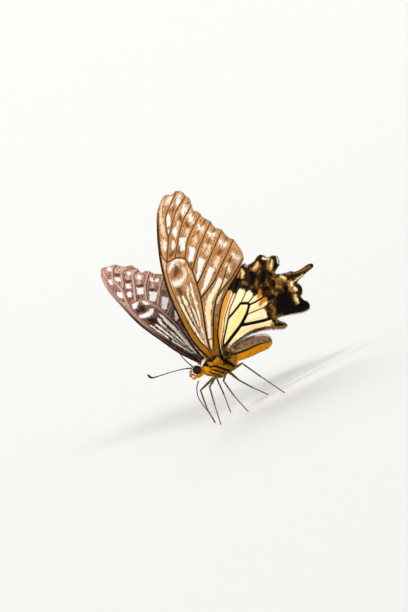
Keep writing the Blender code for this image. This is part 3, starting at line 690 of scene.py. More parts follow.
# The dark border's shape, then the marks on it and in the cells
HIND_BORDER = [
    (16.3, 4.6), (15.7, 6.4), (14.6, 7.7), (15.5, 9.3), (14.6, 10.7), (14, 12.3), (12.8, 13.1),
    (11.8, 14.9), (11.3, 16), (9.9, 17), (8.3, 17.3), (7.4, 16.1), (4.9, 16.2), (4.2, 17.2), (2.9, 17.4),
    (0.4, 18.4), (-1, 22), (0, 32), (16, 36), (24, 24), (24, 12), (20, 7), (17, 4),
]
HIND_MARKS = {
    "black": [[(18.4, 7.8, 0.44), (17.2, 6.9, 0.52), (16.4, 6.2, 0.44)],
        [(17.9, 9.7, 0.59), (16.7, 8.6, 0.65), (15.4, 7.8, 0.44)],
        [(18.6, 14.2, 0.65), (17.2, 14.5, 0.94), (16, 13.7, 0.68)],
        [(17.3, 18.1, 0.75), (15.4, 17.2, 0.83)], [(20.5, 18.1, 0.39), (19.8, 18.7, 0.35)],
        [(17.4, 19.7, 0.47), (16.2, 20.2, 0.49)], [(14.2, 20.6, 0.42), (13.1, 20.4, 0.49)],
        [(12.7, 17.4, 0.55), (12.7, 18.5, 0.42)], [(18.7, 22.6, 0.36), (17.8, 22.4, 0.49)],
        [(10.7, 24.1, 0.78), (9, 24.5, 0.81)], [(9.8, 18.1, 0.68), (9.8, 19.3, 0.49)],
        [(13.8, 13.9, 0.42), (12.8, 14.6, 0.42)], [(16, 10, 0.18), (15.2, 11.3, 0.2), (14.8, 12.4, 0.16)],
        [(10.5, 28.5, 0.22), (9.5, 29, 0.32), (8, 28.8, 0.3)],
        [(13.1, 24.9, 0.2), (13.5, 27.4, 0.22), (13.8, 29.9, 0.15)],
        [(7.2, 16.1, 0.2), (5.7, 16.4, 0.24), (4.3, 16.7, 0.24)],
        [(5.4, 20.4, 0.8), (6.6, 21.8, 1.9), (6.4, 24.2, 1.8), (5, 28.4, 1.2)],
        [(8.8, 21.6, 1.2), (9.4, 24.6, 0.9)], [(3.8, 22, 0.8), (4, 29.6, 0.9)],
        [(2.6, 18.6, 0.7), (1.2, 20.6, 0.6)]],
    "band": [[(2.2, -0.65, 0.4), (4, -0.3, 0.55), (5.9, 0.25, 0.75), (8.4, 1.2, 0.85), (11, 2.65, 0.9),
         (13, 3.9, 0.95), (14.9, 5.4, 0.85), (15.6, 6.1, 0.6)]],
    "yellow": [[(1.6, 1.2, 0.5), (4, 3.2, 1), (6.4, 5.6, 1.6), (8.6, 8, 1.8)],
        [(0.6, 1.4, 0.8), (2.2, 4, 0.9)]],
    "peach": [[(3.4, 6.4, 0.7), (3.4, 11, 0.9), (3, 15, 0.7)], [(5.4, 9, 0.5), (5.3, 15, 0.5)],
        [(6.9, 14.6, 0.5), (7, 16.2, 0.4)], [(8.2, 11.6, 0.4), (8.8, 15, 0.4)]],
    "orange": [[(12.8, 15.6, 0.5), (12, 15.5, 0.62), (11.2, 14.8, 0.4)],
        [(9.8, 17.2, 0.5), (9.8, 15.9, 0.75), (9, 14.8, 0.5)], [(3.1, 24.4, 0.35), (3.2, 25.8, 0.35)],
        [(2.6, 16.8, 0.25), (2.2, 17.5, 0.3)]],
    "dust": [[(16.7, 10.8, 0.4), (16, 11.8, 0.44)], [(15.6, 15.2, 0.3), (14.5, 14.8, 0.36)],
        [(14.8, 18.4, 0.38), (13.6, 18.6, 0.26)], [(14.6, 13.6, 0.22), (13.8, 14.2, 0.22)],
        [(15.1, 20.5, 0.32), (13.9, 21.4, 0.34), (12.3, 21.4, 0.44)],
        [(13.2, 22.2, 0.28), (12.9, 22.7, 0.26)], [(11.5, 19.5, 0.38), (10.2, 20.8, 0.34)],
        [(9.2, 18.8, 0.32), (8.8, 17.6, 0.22)], [(19.3, 14.6, 0.24), (18.9, 14.9, 0.2)],
        [(18.3, 16.4, 0.22), (18.1, 16.8, 0.2)], [(16.6, 21.2, 0.28), (15.3, 21.3, 0.22)],
        [(7.7, 18.5, 0.32), (5.8, 18.7, 0.44), (4.2, 18.1, 0.32)],
        [(14.2, 28, 0.3), (14.2, 30.6, 0.4), (14.6, 33, 0.4)],
        [(14.8, 25.4, 0.2), (14.6, 26.6, 0.2), (14.6, 27.8, 0.15)], [(12.2, 25, 0.4), (12.9, 26.2, 0.25)]],
    "glow": [[(19.7, 10.4, 0.46), (18.8, 9.8, 0.3)],
        [(19.8, 17, 0.57), (19.2, 15.7, 0.61), (19.6, 14.4, 0.34)],
        [(20.1, 20.4, 0.46), (18.4, 20.1, 0.59), (17.4, 20.7, 0.51)],
        [(14.4, 21.8, 0.35), (14, 23, 0.46), (13.1, 24.6, 0.46)],
        [(11.9, 25.7, 0.46), (10.2, 25.7, 0.65), (9.1, 26.6, 0.46)],
        [(8.2, 26.2, 0.27), (6.8, 26.3, 0.46), (5.6, 26.8, 0.34)],
        [(12.4, 21.6, 0.41), (11.8, 22.6, 0.41)]],
    "lunule": [[(20.2, 11.3, 0.27), (19.3, 11.6, 0.36), (18.2, 11, 0.2)],
        [(20.7, 16.8, 0.2), (19.9, 16.2, 0.37), (19.6, 15.3, 0.24)],
        [(19.9, 21.5, 0.2), (18.7, 21.1, 0.36), (17.9, 20.7, 0.15)],
        [(14.7, 23.4, 0.2), (14.1, 24.1, 0.31), (13.5, 24.9, 0.15)],
        [(7.9, 26.7, 0.22), (6.9, 26.7, 0.29), (5.8, 27.1, 0.2)],
        [(11.9, 27, 0.1), (12.3, 28.2, 0.14), (12.6, 29.6, 0.14), (12.8, 30.5, 0.1)]],
    "white": [[(21.3, 12.8, 0.22), (20.7, 13.2, 0.18)],
        [(21.4, 18.9, 0.34), (20.9, 19.9, 0.24), (20.7, 20.9, 0.18)],
        [(20.4, 23.4, 0.24), (19.4, 23.5, 0.24), (18.6, 23.4, 0.14)],
        [(16.3, 21.8, 0.26), (15.8, 22.2, 0.2)], [(11.9, 26.3, 0.42), (11.1, 26.3, 0.42)],
        [(10.1, 26.9, 0.44), (9.5, 27.4, 0.44)],
        [(2.6, 0.15, 0.1), (4.3, 1.05, 0.15), (6.1, 1.95, 0.17), (8.1, 3.05, 0.19), (9.8, 4.05, 0.2),
         (11.3, 5, 0.2), (13, 6.2, 0.2), (14.4, 7.3, 0.2)]],
    # spot: on the underside a grey painted highlight on the black near the inner edge; on the upper side an
    # orange mark
    "spot": [[(2.7, 18.7, 0.22), (2.4, 19, 0.2)]],
    "root": [[(-2.4, 0.2, 1.2), (-0.4, 0.5, 0.8)]],
}


def hind_finish(name, cream, deep, peach, band, orange, brown, black, dust, glow, lunule, white, spot,
                vein, edge, root):
    """Scales of one face of a hindwing: cream and peach cells, the border, its marks and the veins."""
    f = Finish(name)
    plan, lot = f.scale_rows(11.0, 5.5)
    cloud = f.noise(0.5, 3.0)
    blot = f.noise(1.7, 3.0) - 0.5
    hairline = f.noise(1.0, at=f.stretched(plan, 210.0, 45.0, 1.0)) - 0.5
    jitter = (lot - 0.5) * 0.35 + blot * 0.7
    hem = f.field("rim")
    border = f.field("border")
    f.colour = f.mix((f.field("yellow") * 0.5 + jitter).edge(1.6), cream, deep)
    f.mark("peach", jitter * 1.6 + hairline, 1.3, peach, 0.9)
    f.mark("vein", jitter + 0.35, 0.6, peach, 0.4)
    f.mark("band", jitter * 0.4, 0.35, band)
    f.mark("orange", jitter + 0.6, 0.9, peach, 0.8)
    f.mark("border", jitter * 1.2 + hairline * 0.8, 0.3, f.mix((cloud + blot).edge(0.5), black, brown))
    f.mark("orange", jitter * 0.7, 0.6, orange)
    f.mark("dust", jitter * 1.4 + hairline, 0.7,
           f.mix((blot * 3.0 + hairline * 2.0 - 0.2).edge(1.2), dust, glow), 0.85)
    dusted = (blot * 3.4 + hairline * 3.0 - 0.75).edge(0.7) * (border - 0.3).edge(0.6)
    f.cover(dusted * 0.6, f.mix((cloud * 4.0 - 2.0).edge(1.0), dust, glow))
    f.mark("black", jitter, 0.35, black)
    f.mark("glow", jitter * 1.2 + hairline, 0.7, glow, 0.9)
    f.mark("lunule", jitter * 1.1 + hairline * 0.6, 0.6, lunule)
    f.mark("white", jitter * 0.6, 0.35, white)
    # The spot: a painted highlight on the underside, the wing's own orange on the upper side.
    f.mark("spot", jitter, 0.3, spot)
    lines = f.mix((f.field("thin") + jitter * 0.3).edge(0.3), black, vein)
    f.mark("vein", jitter * 0.2, 0.14, lines, 1.0 - (border - 0.6).edge(1.2))
    f.cover((0.5 - hem + jitter * 0.5).edge(0.3) * (f.field("inner") + blot).edge(0.8), edge)
    f.cover((0.42 - hem + jitter * 0.3).edge(0.2) * f.field("costa"), black)
    f.mark("root", jitter + blot, 0.7, root)
    return f.worn(0.88 + 0.22 * lot + 0.25 * hairline, lot + hairline, height=0.03, strength=0.7,
                  roughness=0.6 + 0.2 * lot, gloss=0.05)


hind_plan = wing_plan(HIND_OUTLINE, HIND_VEINS, HIND_GRAIN)
hind_at = hind_plan[0]
hind_fields = wing_fields(hind_plan, HIND_OUTLINE[:11], HIND_VEINS, HIND_MARKS)
thin, thick = (depth(hind_at, [[(*p, 0.3) for p in HIND_VEINS[key]] for key, half in HIND_LINE.items()
                               if (half < THIN_LINE) == is_thin]) for is_thin in (True, False))
lines = [[(*p, half) for p in smooth_run(HIND_VEINS[key], 0.5)] for key, half in HIND_LINE.items()]
hind_fields |= {
    "vein": depth(hind_at, lines),
    "thin": np.minimum(thin, -thick),
    "inner": depth(hind_at, [[(*p, 0.6) for p in HIND_OUTLINE[-12:]]]),
    "border": patch(hind_at, HIND_BORDER) + 0.9 * np.exp(-(hind_fields["vein_axis"] / 0.4) ** 2),
    "glow": np.maximum(hind_fields["glow"], hind_fields["lunule"]) - 0.04,
}


def turned(at):
    """The right hindwing's plan, which is turned forward in its own plane."""
    s, r = at.T
    return np.stack([s * math.cos(FAR_HIND_TURN) + r * math.sin(FAR_HIND_TURN),
                     r * math.cos(FAR_HIND_TURN) - s * math.sin(FAR_HIND_TURN)], 1)


wing_pair("hindwing", hind_plan, hind_fields, HIND_HINGE, HIND_SPREAD, turned, (
    hind_finish("hindwing_underside", cream=(252, 241, 192), deep=(252, 228, 138), peach=(252, 214, 158),
                band=(228, 154, 62), orange=(186, 118, 6), brown=(44, 26, 8), black=(8, 4, 2),
                dust=(104, 70, 36), glow=(172, 122, 54), lunule=(252, 224, 156), white=(248, 216, 184),
                # spot here is grey: a painted highlight
                spot=(110, 106, 104), vein=(112, 70, 22), edge=(132, 98, 42), root=(104, 70, 20)),
    hind_finish("hindwing_upperside", cream=(252, 246, 216), deep=(250, 238, 186), peach=(246, 228, 192),
                band=(96, 74, 58), orange=(66, 78, 116), brown=(30, 20, 14), black=(10, 8, 8),
                dust=(64, 72, 100), glow=(120, 96, 70), lunule=(250, 232, 170), white=(250, 238, 206),
                spot=(206, 112, 30), vein=(70, 50, 36), edge=(90, 70, 46), root=(120, 96, 60))))

# Body: one skin from the face to the end of the abdomen, a loft of fine rings with a neck, a waist and
# the overlapping rings of the abdomen. It lies inside the solids by the depth of the coat. Its marks
# are strokes over its length and its angle from the back, kept for the hair that grows on it.
BODY_RINGS = [
    (-9.3, 0.4, 0.6, 0.3), (-9, 0.8, 1.1, 0.35), (-8.5, 1.15, 1.5, 0.45), (-7.8, 1.4, 1.8, 0.5),
    (-7.1, 1.35, 1.7, 0.45), (-6.3, 1.05, 1.3, 0.35), (-5.8, 0.85, 1, 0.3), (-5.5, 1.1, 1.25, 0.3),
    (-5, 1.9, 2, 0.25), (-3.6, 2.6, 2.7, 0.15), (-1.8, 3, 3.1, 0.1), (0.2, 3.15, 3.3, 0.1),
    (2.2, 3, 3.2, 0.25), (3.8, 2.5, 2.8, 0.6), (4.8, 1.9, 2.1, 1), (5.3, 1.6, 1.75, 1.15),
    (6.2, 2, 2.2, 1.4), (8, 2.35, 2.6, 1.7), (10.5, 2.45, 2.75, 1.9), (13, 2.35, 2.6, 2),
    (15.2, 2.2, 2.45, 1.95), (16.4, 1.95, 2.15, 1.85), (17.2, 1.5, 1.6, 1.8), (17.6, 0.8, 0.9, 1.8),
]
COAT_DEPTH = [
    (-9.3, 0.12), (-7.5, 0.18), (-5.5, 0.3), (-3, 0.36), (2.5, 0.36), (4.5, 0.25), (6, 0.16), (15, 0.14),
    (17.5, 0.2),
]
SEGMENT_ENDS = np.array([5.3, 6.4, 8.0, 9.6, 11.2, 12.7, 14.1, 15.4, 16.5, 17.6])
NECK = -5.6
WAIST = 5.2
DEGREES_A_MM = 20.0              # of angle round the body, where a mark's size is given in millimetres
BODY_MARKS = {
    "black": [
        [(-2, 0, 0.5), (-1.2, 0, 1.2), (0.5, 0, 1.5), (4.6, 0, 1), (6, 0, 0.9), (12, 0, 1), (17.4, 0, 0.9)],
        [(-2.8, 17, 0.47), (-2, 32, 0.43), (-1, 48, 0.46), (-0.5, 68, 0.54), (0.2, 92, 0.61),
         (0.8, 105, 0.57), (1.8, 125, 0.43), (3.4, 164, 0.34)],
        [(-2.8, 17, 0.51), (-4, 35, 0.57), (-4.9, 38, 0.57), (-5.1, 48, 0.41), (-4.8, 65, 0.38),
         (-4.25, 93, 0.36), (-3.25, 98, 0.32), (-2.4, 112, 0.34), (-1.4, 126, 0.34), (-0.3, 140, 0.36),
         (0.6, 154, 0.36), (0.8, 178, 0.27)],
        [(-4.6, 105, 0.14), (-3.8, 120, 0.23), (-2.9, 134, 0.27), (-1.7, 150, 0.27), (-1, 157, 0.34)],
        [(-4.9, 128, 0.14), (-4.25, 144, 0.27), (-3.25, 158, 0.3), (-1.9, 172, 0.32)],
        [(-0.8, 102, 0.35), (-0.6, 104, 0.35)], [(0.35, 121, 0.24), (0.45, 123, 0.24)],
        [(3.2, 68, 0.32), (3.5, 73, 0.34), (4.8, 84, 0.36), (6.3, 100, 0.36), (7.7, 106, 0.33),
         (9, 108, 0.3), (13, 106, 0.24), (14.2, 112, 0.17), (16.5, 110, 0.14)],
        [(5.7, 46, 0.14), (6.4, 65, 0.14), (7.2, 76, 0.1)],
        [(-9.3, 10, 0.3), (-8.2, 12, 0.35), (-7, 20, 0.3)]],
    "orange": [[(-5.3, 70, 0.5), (-5.5, 100, 0.8), (-5.6, 133, 0.9), (-6.6, 144, 0.8)],
        [(-3.4, 60, 0.4), (-2.5, 62, 0.8), (-1.5, 64, 0.5)], [(-4, 130, 0.3), (-1.5, 165, 0.5)],
        [(-0.4, 152, 0.2), (0, 154, 0.2)], [(1.7, 145, 0.25), (2.1, 147, 0.25)],
        [(4.4, 140, 1.2), (7, 150, 1.9), (12, 150, 2), (16, 150, 1.6)], [(-9, 140, 0.8), (-7, 150, 1.2)]],
    "cream": [[(-7.3, 14, 0.5), (-6.4, 12, 0.8), (-5.4, 8, 0.9), (-4.6, 8, 0.9), (-3.6, 10, 0.8),
         (-2.8, 14, 0.45)], [(3.2, 30, 0.3), (4.4, 40, 0.45), (5.2, 44, 0.3)],
        [(-9.3, 60, 0.2), (-9, 90, 0.25), (-8.6, 125, 0.2)],
        [(13.2, 38, 0.35), (14.6, 38, 0.75), (15.8, 36, 0.95), (17, 46, 0.8), (17.4, 58, 0.4)]],
    "dusk": [[(6.5, 66, 0.45), (6.9, 68, 0.4)], [(8.6, 74, 0.5), (9.3, 78, 0.45)],
        [(10.7, 80, 0.4), (11.2, 82, 0.35)], [(13, 84, 0.4), (13.5, 86, 0.35)],
        [(14.9, 100, 0.4), (14.9, 100, 0.4)], [(6.2, 34, 0.5), (9, 46, 0.3), (12.4, 42, 0.3)],
        [(16.9, 80, 0.5), (17.1, 104, 0.5)]],
    # The first grey stroke, on the upper flank of the abdomen, is partly its own pale dusting of hair and
    # partly a painted sheen that lightens the black there
    "grey": [[(6, 60, 1.3), (9, 60, 2.2), (13, 60, 2.2), (17.4, 70, 2.2)],
        [(1.6, 72, 0.4), (2.4, 98, 0.5)]],
}
ROUND = 112
UNWRAP_SIZE = 30                 # the side of the square that the skin's unwrap fills
UNWRAP_TURN = 3                  # its height for each radian round the body


def net(rows, sides, mirrored=False):
    """Faces over closed rings of points, row by row, then a fan at each end round the two last points."""
    pairs = [(k, (k + 1) % sides) for k in range(sides)]
    last = (rows - 1) * sides
    quads = [(i + k, i + m, i + m + sides, i + k + sides) for i in range(0, last, sides) for k, m in pairs]
    fans = [(m, k, last + sides) for k, m in pairs]
    fans += [(last + k, last + m, last + sides + 1) for k, m in pairs]
    if mirrored:
        return [(a, d, c, b) for a, b, c, d in quads] + [(b, a, c) for a, b, c in fans]
    return quads + fans


def grid(*parts):
    """Rows of numbers from parts that change along the body, round it or both."""
    return np.stack(np.broadcast_arrays(*parts), -1).reshape(-1, len(parts))


def on_body(strokes):
    """Strokes given as (length, angle, radius), with the angle as a length too."""
    return [[(y, a / DEGREES_A_MM, r) for y, a, r in stroke] for stroke in strokes]


rings = smooth_run(BODY_RINGS, 0.1)
place = np.clip(np.searchsorted(SEGMENT_ENDS, rings[:, 0]) - 1, 0, len(SEGMENT_ENDS) - 2)
phase = np.clip((rings[:, 0] - SEGMENT_ENDS[place]) / (SEGMENT_ENDS[place + 1] - SEGMENT_ENDS[place]), 0, 1)
plate = 0.1 * phase - 0.16 * np.clip((phase - 0.86) / 0.14, 0, 1)
plate = np.where(rings[:, 0] > SEGMENT_ENDS[0], plate, 0) - np.interp(rings[:, 0], *np.transpose(COAT_DEPTH))
rings[:, 1:3] += plate[:, None]
turns = np.arange(ROUND) * 2 * math.pi / ROUND
ring_y, ring_w, ring_h, ring_z = (rings[:, k, None] for k in range(4))
angle = np.degrees(np.minimum(turns, 2 * math.pi - turns))[None, :]
swell = (0.35 * np.exp(-((ring_y + 0.6) / 2.2) ** 2 - ((angle - 52) / 20) ** 2)
         - 0.22 * np.exp(-((ring_y + 4.3) / 0.35) ** 2)
         - 0.15 * np.exp(-((angle - 92) / 7) ** 2 - ((ring_y + 0.5) / 3) ** 2))
nose = (0, rings[0, 0] - 0.05, rings[0, 3])
rump = (0, rings[-1, 0] + 0.1, rings[-1, 3])
skin_points = np.vstack([grid((ring_w + swell) * np.sin(turns), ring_y,
                              ring_z + (ring_h + swell) * np.cos(turns)), nose, rump])
chart = np.vstack([grid(ring_y, angle / DEGREES_A_MM), (rings[0, 0], 4.5), (rings[-1, 0], 4.5)])
away = skin_points - np.vstack([grid(0 * angle, ring_y, ring_z), skin_points[-2:] - [(0, -1, 0), (0, 1, 0)]])
away /= np.linalg.norm(away, axis=1)[:, None]
length_y = chart[:, 0]
lift = np.interp(length_y, [-9.3, -8.4, -6.5, -4.0, 2.0, 4.5, 6.5, 17.0],
                 [1.2, 0.9, 0.5, 0.32, 0.3, 0.3, 0.14, 0.2])
rearward = np.interp(length_y, [-9.3, -8.6, -7.8], [-0.7, 0.0, 1.0])
droop = 0.35 * np.sin(np.radians(chart[:, 1] * DEGREES_A_MM)) * (length_y < 5)
collar = np.clip(depth(chart, on_body(BODY_MARKS["cream"][:1])) * 2 + 0.6, 0, 1) * (length_y > NECK)
lie = np.stack([0 * length_y, rearward, -droop], 1) + (lift + 1.2 * collar)[:, None] * away
long = np.interp(length_y, [-9.3, -7.5, -5.5, -3.5, 2.5, 4.6, 6.0, 16.0, 17.4],
                 [0.35, 0.4, 0.7, 0.7, 0.7, 0.6, 0.42, 0.42, 0.6])
body_fields = {name: depth(chart, on_body(strokes)) for name, strokes in BODY_MARKS.items()} | {
    "lie": lie @ AXES.T,
    "tuft": long * (1 + 0.6 * (chart[:, 1] < 2.2) * (length_y > -1.5)) + 0.55 * collar,
    "thick": np.interp(length_y, [-9.3, -6.0, -5.0, 5.0, 6.0], [2.2, 1.8, 1.0, 1.0, 1.3]),
}


def hair_finish(name, base, grey, orange, cream, black, dusk):
    """Hair and scales of the body, on the skin and on each tuft alike: painted shade makes each tuft darker
    towards its root, and the bare skin as dark as the roots.
    """
    f = Finish(name)
    fine = f.noise(6.0)
    cloud = f.noise(1.3)
    strands = f.noise(1.0, at=f.stretched(f.at, 4.0, 1.2, 4.0))
    jitter = (fine - 0.5) * 0.5 + (cloud - 0.5) * 0.5
    f.colour = f.mix((f.field("grey") + jitter).edge(0.6), base, grey)
    f.mark("dusk", jitter + (strands - 0.5) * 2.0, 0.7, dusk, 0.7)
    f.mark("orange", jitter, 0.4, orange)
    f.cover((strands * 2.6 - 1.55).edge(0.7) * 0.55, dusk)
    f.mark("cream", jitter * 0.6, 0.25, cream)
    f.mark("black", jitter * 0.5, 0.25, black)
    # Painted shade by the height along each tuft, times random tone of the hair and of each tuft
    tone_and_root_shade = (0.8 + 0.5 * f.field("tip")) * (0.45 + 0.6 * fine + 0.55 * cloud) + 0.5 * f.field("lot")
    return f.worn(tone_and_root_shade + 0.36 * f.field("cream").edge(0.4), fine, height=0.05, strength=0.7,
                  roughness=0.6, gloss=0.08)


hair = hair_finish("body_hair", base=(200, 136, 24), grey=(188, 148, 114), orange=(252, 170, 8),
                   cream=(254, 240, 224), black=(18, 9, 4), dusk=(96, 58, 20))
skin_mesh = solid("body_skin", placed(skin_points), net(len(rings), ROUND, mirrored=True), hair)
paint_fields(skin_mesh, body_fields)
belly = 3 * UNWRAP_TURN
unwrap = np.vstack([grid(ring_y, turns * UNWRAP_TURN), (rings[0, 0] - 0.3, belly),
                    (rings[-1, 0] + 0.3, belly)])
drawn = unwrap[corners_of(skin_mesh)]
# A face that crosses the seam along the back is drawn past the end of the unwrap
round_at = drawn[:4 * (len(rings) - 1) * ROUND, 1].reshape(-1, 4)
crosses = round_at.max(axis=1) - round_at.min(axis=1) > belly
round_at = round_at + np.where(crosses[:, None] & (round_at < belly), 2 * math.pi * UNWRAP_TURN, 0)
drawn[:round_at.size, 1] = round_at.ravel()
lay_flat(skin_mesh, "flank", (drawn + (10, 0)) / UNWRAP_SIZE)
show("body_skin", skin_mesh, "body_hair", "head", "thorax", "abdomen")


# Coat: thin tapered tufts over the skin, long and rough on the thorax, short and flat on the abdomen
# and on the face. A tree of nodes scatters them, turns each along the lie of the hair and keeps the
# marks of the place where it grows.
UV_PATCH = 0.003                 # the side of each tuft's own square in the unwrap


def tuft_tree():
    """Nodes that cover a surface with three-sided blades, along its field 'lie' and by its sizes."""
    tree = bpy.data.node_groups.new("tufts", 'GeometryNodeTree')
    sockets = (("Surface", 'Geometry'), ("Tufts per square metre", 'Float'), ("Length", 'Float'),
               ("Width", 'Float'), ("Stray", 'Float'), ("Seed", 'Int'), ("Finish", 'Material'))
    for name, kind in sockets:
        tree.interface.new_socket(name, in_out='INPUT', socket_type='NodeSocket' + kind)
    tree.interface.new_socket("Tufts", in_out='OUTPUT', socket_type='NodeSocketGeometry')
    g = Graph(tree)
    entry = tree.nodes.new("NodeGroupInput")
    given = {socket.name: Ink(g, socket) for socket in entry.outputs if socket.name}

    def field(name, kind='FLOAT'):
        return g.node("GeometryNodeInputNamedAttribute", {"data_type": kind}, {"Name": name})

    def keep(surface, name, value, kind, domain):
        return g.node("GeometryNodeStoreNamedAttribute", {"data_type": kind, "domain": domain},
                      {"Geometry": surface, "Name": name, "Value": value})

    def chance(low, high, number):
        return g.node("FunctionNodeRandomValue", {"data_type": 'FLOAT'},
                      {2: low, 3: high, "Seed": given["Seed"] + number}, out=1)

    cone = g.node("GeometryNodeMeshCone", {"fill_type": 'NGON'},
                  {"Vertices": 3, "Side Segments": 2, "Radius Top": 0.0, "Radius Bottom": 1.0, "Depth": 1.0})
    blade = keep(cone, "blade", Ink(g, cone.socket.node.outputs["UV Map"]), 'FLOAT2', 'CORNER')
    at = g.node("GeometryNodeInputPosition")
    x, y, z = (g.node("ShaderNodeSeparateXYZ", None, {"Vector": at}, out=k) for k in range(3))
    belly = 1.0 + 2.2 * z * (1.0 - z)
    shaped = g.node("ShaderNodeCombineXYZ", None, {"X": x * belly * 0.5, "Y": y * belly, "Z": z})
    # The height along each tuft, which the hair finish turns into painted shade towards the root
    blade = keep(blade, "tip", z, 'FLOAT', 'POINT')
    blade = g.node("GeometryNodeSetPosition", None, {"Geometry": blade, "Position": shaped})
    points = g.node("GeometryNodeDistributePointsOnFaces", {"distribute_method": 'RANDOM'},
                    {"Mesh": given["Surface"], "Density": field("thick") * given["Tufts per square metre"],
                     "Seed": given["Seed"]})
    outward = Ink(g, points.socket.node.outputs["Normal"])
    points = keep(points, "lot", chance(-0.5, 0.5, 3), 'FLOAT', 'POINT')
    stray = g.node("FunctionNodeRandomValue", {"data_type": 'FLOAT_VECTOR'},
                   {0: (-1, -1, -1), 1: (1, 1, 1), "Seed": given["Seed"] + 1})
    stray = g.node("ShaderNodeVectorMath", {"operation": 'SCALE'}, {0: stray, "Scale": given["Stray"]})
    along = g.node("ShaderNodeVectorMath", {"operation": 'ADD'}, {0: field("lie", 'FLOAT_VECTOR'), 1: stray})
    leaning = g.node("FunctionNodeAlignRotationToVector", {"axis": 'Z'}, {"Vector": along})
    leaning = g.node("FunctionNodeAlignRotationToVector", {"axis": 'X', "pivot_axis": 'Z'},
                     {"Rotation": leaning, "Vector": outward})
    long = field("tuft") * given["Length"] * chance(0.7, 1.25, 2)
    size = g.node("ShaderNodeCombineXYZ", None, {"X": given["Width"], "Y": given["Width"], "Z": long})
    tufts = g.node("GeometryNodeInstanceOnPoints", None,
                   {"Points": points, "Instance": blade, "Rotation": leaning, "Scale": size})
    tufts = g.node("GeometryNodeRealizeInstances", None, {"Geometry": tufts})
    unwrap_at = g.node("ShaderNodeVectorMath", {"operation": 'MULTIPLY_ADD'},
                       {0: field("blade", 'FLOAT_VECTOR'), 1: (UV_PATCH, UV_PATCH, 0),
                        2: field("flank", 'FLOAT_VECTOR')})
    tufts = keep(tufts, "OFBake", unwrap_at, 'FLOAT2', 'CORNER')
    tufts = g.node("GeometryNodeSetMaterial", None, {"Geometry": tufts, "Material": given["Finish"]})
    leave = tree.nodes.new("NodeGroupOutput")
    tree.links.new(tufts.socket, leave.inputs["Tufts"])
    return tree


TUFTS = tuft_tree()


def grow(name, surface, finish, slot, per_mm2, length, width, stray, seed):
    """Covers a surface with tufts, as one plain mesh. Sizes are in millimetres."""
    bed = bpy.data.objects.new(name + "_bed", surface)
    bpy.context.scene.collection.objects.link(bed)
    nodes = bed.modifiers.new("tufts", 'NODES')
    nodes.node_group = TUFTS
    values = {"Tufts per square metre": per_mm2 / MM ** 2, "Length": length * MM, "Width": width * MM / 2,
              "Stray": stray, "Seed": seed, "Finish": finish}
    for item in TUFTS.interface.items_tree:
        if item.name in values and item.in_out == 'INPUT':
            nodes[item.identifier] = values[item.name]
    grown = bed.evaluated_get(bpy.context.evaluated_depsgraph_get())
    mesh = bpy.data.meshes.new_from_object(grown)
    bpy.data.objects.remove(bed)
    for spare in ("lie", "tuft", "thick", "blade", "flank"):
        if spare in mesh.attributes:
            mesh.attributes.remove(mesh.attributes[spare])
    mesh.shade_smooth()
    show(name, mesh, slot)


for name, slot, start, end, sizes in (
        ("head_hair", "body_hair", -99, NECK,
         dict(per_mm2=95, length=1.0, width=0.05, stray=0.22, seed=11)),
        ("thorax_hair", "body_hair", NECK, WAIST,
         dict(per_mm2=80, length=1.2, width=0.09, stray=0.2, seed=12)),
        ("abdomen_scaling", "abdomen_scales", WAIST, 99,
         dict(per_mm2=65, length=1.1, width=0.085, stray=0.07, seed=13))):
    bed = skin_mesh.copy()
    thick = body_fields["thick"] * ((length_y >= start) & (length_y < end))
    bed.attributes["thick"].data.foreach_set("value", thick.astype(np.float32))
    grow(name, bed, hair, slot, **sizes)


# Fringes and root hair of the wings: a row of short scales stands out all round each edge, dark at the
# veins' ends and pale between them, and longer hair covers each hinge and the hindwing's inner edge.
NEAR_RIM = 0.3
ON_RIM = 0.04


def coat_bed(mesh, lie, **given):
    """Keeps what tufts need of the surface under them: their lie, sizes and marks, none unless given."""
    plain = dict(tuft=1.0, thick=1.0, cream=-2.0, black=-2.0, grey=-2.0, orange=-2.0, dusk=-2.0)
    fields = {name: np.broadcast_to(value, len(lie)) for name, value in (plain | given).items()}
    paint_fields(mesh, fields | {"lie": lie})


def rim_direction(at, edge):
    """The way out of a wing, in its plan, at each point near its rim."""
    step = 0.02
    slope = np.stack([depth(at + (step, 0), edge) - depth(at - (step, 0), edge),
                      depth(at + (0, step), edge) - depth(at - (0, step), edge)], 1)
    return slope / np.maximum(np.linalg.norm(slope, axis=1), 1e-9)[:, None]


